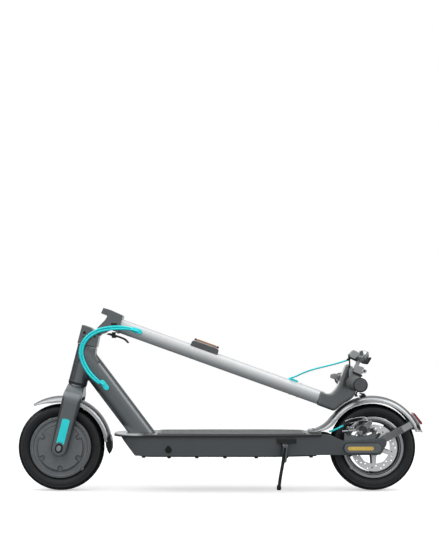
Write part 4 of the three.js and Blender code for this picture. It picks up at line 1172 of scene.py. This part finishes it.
# ---- stem ----
def stem():
    foot = [(-307.5, 475, 2), (-313.6, 460.6, 2), (-297, 454, 3), (-299.5, 444.5, 6), (-320.6, 423.4, 3),
            (-323.6, 415.4, 3), (-318.6, 408, 3), (-309, 406.6), (-300, 410.4), (-291, 417), (-280, 417),
            (-267.5, 406, 2), (-254.4, 454, 2), (-290, 470, 4)]
    body = plate(foot, 0, -23.8, 23.8)
    ear = [(-330, 449), (-293.8, 449), (-293.8, 480), (-330, 480)]
    sides = [prism(ear, 10.4, 30), prism(ear, -30, -10.4)]
    knuckle = prism(circle(16.6, 64, HINGE.x / MM, HINGE.z / MM), -11.4, 11.4)
    bore = placed(turned([(TUBE_RADIUS + 0.3, -40), (TUBE_RADIUS + 0.3, 90)], 64, "X"), AT_STEM)
    body = cut(eased(cut(body, *sides), 2.0, 4), knuckle, bore)
    piece(body, "stem_foot_casting", "stem", "grey", ["stem_foot"])
    window = plate([(-286, 426), (-270, 425), (-269.4, 434), (-285, 435.4)], 1, 23, 24.6)
    piece(joined(eased(mirrored(window), 0.5), eased(window, 0.5)), "fold_lock_window", "stem", "black")
    bolt = [(-284, 395.6), (-273, 395.6), (-272.6, 402), (-275, 403), (-274, 411), (-284.6, 411),
            (-283.4, 403), (-285, 402)]
    piece(plate(bolt, 0.8, -16.5, -8.5, 0.8), "fold_safety_bolt", "stem", "black")
    wall = pipe(TUBE_RADIUS, 16, -29, 555.6, 160, "X")
    piece(wall, "stem_tube_wall", "stem", "silver", ["stem_tube"], at=AT_STEM)
    screws = []
    for x in (470, 490):
        for turn in (0, math.pi):
            head = turned([(2.2, 0), (2.2, 0.7), (1.6, 1.1), (0.9, 1.1)], 16, "Z", x, 0, TUBE_RADIUS - 0.2)
            screws.append(placed(head, Matrix.Rotation(turn, 4, "X")))
    piece(joined(*screws), "stem_screws", "stem", "zinc", at=AT_STEM)
    stem_head()
    lever = [(-299.5, 405.4, 1), (-292, 409, 2), (-262, 399.6, 8), (-248, 393.6, 8), (-240, 383, 1),
             (-243.4, 382, 1), (-251, 390, 8), (-264, 395.6, 8), (-292, 403, 2)]
    piece(plate(lever, 0, -13.8, 13.8, 1.1), "fold_lever_handle", "fold_lever", "black", ["fold_lever"])


def stem_head():
    lower = arc(135.6, 133, 116, 14, REAR.x / MM, REAR.z / MM)
    outline = [(250.2, 222), (296, 205, 3), *[(p.x, p.y) for p in lower], (347, 241, 3), (352.5, 250, 4),
               (356, 262, 3), (356, 284, 6), (350.5, 301, 8), (342.5, 319, 5), (338.5, 326, 3),
               (333.5, 329, 3), (328.6, 325, 3), (326.2, 318, 5), (321.3, 307, 14), (307, 268, 16),
               (291.7, 251.5, 8), (279.5, 249, 8), (261.8, 258)]
    body = plate(outline, 0, -23.4, 23.4, steps=6)
    body = cast(eased(body, 3.4, 4), 1.25, 64)
    bore = placed(turned([(TUBE_RADIUS + 0.3, 490), (TUBE_RADIUS + 0.3, 557)], 64, "X"), AT_STEM)
    through = prism(circle(11.3, 48, BAR.x / MM, BAR.z / MM), -40, 40)
    button = placed(turned([(6, -5), (6, 5)], 32, "X"), Matrix.Translation((0.356, 0, 0.2635)))
    piece(cut(body, bore, through, button), "stem_head_casting", "stem", "head", ["stem_head"],
          sharp=40)
    glass = eased(cad_copy("display_cover"), 0.8, 3)
    piece(glass, "display_glass", "stem", "glass", ["display_cover"])
    key = placed(turned([(5.6, -2), (5.6, 1.4), (5, 2), (3.8, 1.7)], 32, "X"),
                 Matrix.Translation((0.3556, 0, 0.2635)))
    piece(key, "power_key", "power_button", "steel", ["power_button"])
    piece(eased(cad_copy("latch_hook"), 0.5, 2), "latch_claw", "latch_hook", "bolt", ["latch_hook"])


def stem_lamp():
    """The headlight: a rounded housing that straddles the tube, and its long copper lens."""
    shape = [(181.6, 14.5, 3), (257.4, 14.5, 3), (256.6, 27, 6), (252, 30.3, 4), (187, 30.3, 4),
             (182.4, 27, 6)]
    body = plate(shape, 0, -12.8, 12.8, 3.2, 5)
    saddle = turned([(TUBE_RADIUS + 0.3, 150), (TUBE_RADIUS + 0.3, 290)], 64, "X")
    shell = cut(body, saddle)
    piece(shell, "lamp_housing", "stem", "lamp", ["headlight_housing"], at=AT_STEM)
    lens = [(192, 31), (249, 31), (248.4, 35.4, 2), (244, 36.7, 2), (197, 36.7, 2), (192.6, 35.4, 2)]
    lens = plate(lens, 0, -10.6, 10.6, 1.2)
    piece(lens, "lamp_lens", "stem", "copper", ["headlight_lens"], at=AT_STEM)
    ends = [[(186, 31), (192.2, 31), (192.8, 36.5), (188, 36.7)],
            [(248.8, 31), (255.4, 31), (253, 36.7), (248.2, 36.5)]]
    ends = [plate(end, 1.4, -10.8, 10.8, 0.9) for end in ends]
    piece(joined(*ends), "lamp_lens_ends", "stem", "brown", at=AT_STEM)


# ---- handlebar ----
def grips():
    """Rubber grips with rings of ribs, and the bar through them."""
    for side, word in ((-1, "left"), (1, "right")):
        profile = [(11.3, 92), (19.4, 92), (20, 92.6), (20, 96.4), (19, 97.6), (16.2, 100.5)]
        for k in range(GRIP_RINGS):
            at = 103 + k * 4.2
            profile += [(15.1, at), (15.6, at + 0.7), (15.6, at + 2.6), (15.1, at + 3.3)]
        profile += [(15.6, 206), (17.2, 207.4), (17.6, 208), (17.6, 209), (11.3, 209.2)]
        turn = AT_HANDS @ (WORLD if side > 0 else Matrix.Rotation(math.pi, 4, "Z"))
        piece(lathe(profile, 64), f"grip_rubber_{word}", "stem", "grip", [f"grip_{word}"],
              sharp=30, at=turn)
        cap = turned([(15.2, 209.5), (15.2, 213.8), (14.2, 214.8)], 64)
        piece(cap, f"grip_end_cap_{word}", "stem", "cap", at=turn)
        rim = [(17.4, 209.8), (17.8, 210.3), (17.8, 213), (17, 214.2), (15.6, 214.2), (15.6, 209.8)]
        piece(lathe(rim, 64), f"grip_end_rim_{word}", "stem", "black", at=turn)
        seam = turned([(17.2, 208.8), (17.2, 209.8)], 64)
        piece(seam, f"grip_end_seam_{word}", "stem", "black", at=turn)
    piece(pipe(11, 9, -208, 208, 64), "handlebar_tube", "stem", "dark", ["handlebar"],
          at=AT_HANDS)


def controls():
    """The brake lever, its perch and the bell on the left of the bar."""
    block = [(4.5, 46.3, 2), (22.8, 40.9, 3), (25.4, 37.8, 1), (21, 23.3, 2), (15.9, 21.8, 1), (-2.6, 28.7, 2)]
    neck = eased(prism([(8.3, 60), (16.5, 54), (12.3, 43), (4.6, 44)], -88, -72), 1.0)
    piece(joined(plate(block, 0, -92.4, -67, 1.2, 4), neck), "brake_lever_mount", "stem", "pale",
          ["brake_perch"], at=AT_HANDS)
    bridge = [(-11, 6), (16, 4), (19, 18), (-2, 28), (-3, 43), (-8.6, 41, 3), (-10.6, 30, 4)]
    clamp = joined(pipe(15.2, 11.3, -91, -68, 64), plate(bridge, 0, -88, -70, 1.4))
    piece(clamp, "brake_lever_clamp", "stem", "light", at=AT_HANDS)
    # A black sliver filling the gap between perch and clamp: painted shade of that gap.
    line = prism([(-4.4, 28.4), (-2.8, 25.2), (17.7, 15.8), (21.4, 17.6), (20, 20.8), (-1.9, 30)], -92.6, -68)
    piece(eased(line, 0.4), "perch_clamp_gap_painted_shade", "stem", "black", at=AT_HANDS)
    house = [(-11.2, 66.4, 3), (-11, 72.5, 3), (-8.6, 76.4, 2), (-0.5, 84.5, 3), (11.4, 79.1, 2),
             (15.9, 73.6, 1), (7.5, 58.6, 2)]
    piece(plate(house, 0, -88, -66, 1.4, 4), "switch_housing", "stem", "pale", at=AT_HANDS)
    under = [(-12.4, 73), (-12.6, 64), (6.6, 54.8), (8.6, 59), (-10.8, 67.6), (-10.8, 73)]
    ferrule = tube([(-15.6, -77, 58), (-11, -78.4, 61.6), (-7, -79.4, 66)], 3.1, 12, 16)
    edge = joined(eased(prism(under, -88.2, -66), 0.5), ferrule)
    piece(edge, "switch_housing_edge", "stem", "black", at=AT_HANDS)
    ring = pipe(5.8, 3, -93, -78, 32, "Y", 26, 0, 30.5)
    piece(ring, "perch_bolt", "stem", "zinc", at=AT_HANDS)
    piece(screw(2.8, 26, -88, 30.5), "perch_bolt_socket", "stem", "bolt", at=AT_HANDS)
    blade = tube([(8, -84, 60), (9.4, -112, 66), (11, -150, 66), (13, -186, 67), (15, -198, 69)],
                 lambda t: 5.2 - 0.6 * math.sin(t * math.pi), 60, 24, flat=0.9)
    ball = tube([(12.4, -202, 56), (15, -202, 64), (18.4, -201, 74), (20, -200, 81)],
                lambda t: 2.2 + 3.2 * math.sin(math.pi * min(1, 0.1 + t)), 24, 20)
    lever = cast(joined(blade, ball), 0.8, 4)
    piece(lever, "brake_lever_blade", "brake_lever", "grey", ["brake_lever"], sharp=60,
          at=AT_HANDS)
    bell()
    throttle()
    switch_cable = tube([(-10, -82, 67), (-10.4, -82, 56), (-9.8, -81, 46), (-7, -76, 34), (2, -62, 22),
                         (8, -46, 14)], 1.9, 40, 12)
    piece(switch_cable, "brake_switch_cable", "stem", "rubber", at=AT_HANDS)


def bell():
    """The bell: a dark base, a cup that faces up when the stem stands, and a thumb lever."""
    base = [(12.4, 60, 2), (13.4, 69, 4), (16.2, 81, 2), (22, 83.2, 2), (23.6, 76), (26, 62), (30, 59),
            (26, 53), (15, 51.8, 2)]
    piece(plate(base, 0, -89, -68, 1.2), "bell_base", "stem", "dark", at=AT_HANDS)
    dome = [(11.5, 23.6), (11.5, 25.5), (11, 29.5), (9.4, 33.2), (6.4, 36.4), (2, 38)]
    cup = turned(dome, 64, "X", 0, -79, 71.4)
    piece(cup, "bell_cup", "stem", "cup", ["bell_dome"], sharp=60, at=AT_HANDS)
    thumb = [(17.7, 52.7, 1), (25, 57, 2), (42.8, 65.8, 1), (44.6, 62.7, 1), (35, 47.3, 2), (24, 48.6, 2)]
    piece(plate(thumb, 0, -91, -71, 1.2), "bell_thumb_lever", "bell_lever", "black", ["bell_lever"],
          at=AT_HANDS)


def throttle():
    piece(eased(cad_copy("throttle_housing"), 1.4, 3), "throttle_pod", "stem", "mid", ["throttle_housing"])
    seams = cut(turned([(18.25, 70.6), (18.25, 71.4)], 64), turned([(17.6, 60), (17.6, 90)], 64))
    piece(seams, "throttle_pod_seam", "stem", "black", at=AT_BAR)
    piece(eased(cad_copy("throttle_paddle"), 1.0, 3), "throttle_thumb_paddle", "throttle_paddle", "light",
          ["throttle_paddle"])


# ---- cables ----
UPPER_LOOP = [(-214, 413.4), (-234.5, 419.6), (-263.8, 422.4), (-291.6, 420.4), (-316, 415), (-334, 406),
              (-346, 396.4), (-348.2, 394)]
LOWER_LOOP = [(-346, 396.4), (-348.2, 394), (-356, 382.6), (-361, 367), (-361.4, 352), (-357, 336),
              (-349, 319), (-338.4, 303.6), (-326, 290.6), (-312.4, 279), (-304, 273)]
UPPER_Y = [-22, -26, -31, -33.5, -34.5, -34.5, -34.5, -34.5]
UPPER_SPREAD = [0.3, 0.6, 0.95, 1, 1, 1, 1, 1]
LOWER_SPREAD = [1, 1, 1, 1, 1, 1, 1, 1, 0.9, 0.6, 0.3]
LOWER_Y = [-34.5, -34.5, -34.5, -34.5, -34.5, -34.5, -34.8, -35, -35.4, -35, -33]


def beside(loop, off, ys, spread):
    """The loop's points moved sideways by off, times each point's share."""
    flat = [Vector(p) for p in loop]
    out = []
    for i, p in enumerate(flat):
        ahead = (flat[min(i + 1, len(flat) - 1)] - flat[max(i - 1, 0)]).normalized() * off * spread[i]
        out.append((p.x - ahead.y, ys[i], p.y + ahead.x))
    return out


def grommet(x, z, low, high, tilt):
    """The rubber oval through which the cables enter the stem or the down tube."""
    shape = eased(prism(stadium(31, 13, 14), low, high), 1.6)
    return placed(shape, frame_at(Vector((x, 0, z)) * MM, tilt))


def cables():
    for word, node, off in (("motor", "motor_cable", 3.15), ("brake", "brake_cable", -3.15)):
        upper = beside(UPPER_LOOP, off, UPPER_Y, UPPER_SPREAD)
        lower = beside(LOWER_LOOP, off, LOWER_Y, LOWER_SPREAD)
        high = tube(upper if off > 0 else upper[1:], 3, 90, 18)
        low = tube(lower if off > 0 else lower[:-1], 3, 110, 18)
        if off > 0:
            high = joined(high, grommet(-219, 415, -23.2, -18.6, TILT))
            low = joined(low, grommet(-300.8, 273.3, -33.4, -28.6, DOWN_TUBE_ANGLE))
        piece(high, f"{word}_cable_upper", None, "cyan", [f"{node}_stem"], sharp=60)
        piece(low, f"{word}_cable_lower", None, "cyan", [f"{node}_frame"], sharp=60)
        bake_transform(high)
        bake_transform(low)
    route = [(186, -4, 291.4), (198, -12, 295.5), (215, -26, 304.4), (242, -46, 315), (287, -66, 327.2),
             (308, -73, 333.4), (328, -78, 340)]
    bar_cable = tube(route, 2.2, 90, 16)
    patch = eased(prism(stadium(26, 9, 12, 467), 18.2, 23.4, "XY"), 1.4)
    piece(bar_cable, "brake_cable_to_bar", "stem", "cyan", ["brake_cable_bar"])
    piece(patch, "stem_cable_grommet", "stem", "cyan", at=AT_STEM)
    rear = [(283, -30, 154), (290, -36, 156.5), (300, -42, 161), (312, -46, 167.5), (319, -48, 171.5)]
    piece(tube(rear, 2.4, 50, 16), "brake_cable_to_caliper", "frame", "cyan", ["rear_brake_cable"])


camera()
cables()
studio()
front_wheel()
rear_wheel()
fork()
fold_base()
front_fender()
main_frame()
deck()
rear_fender()
side_covers()
caliper()
kickstand()
stem()
stem_lamp()
grips()
controls()
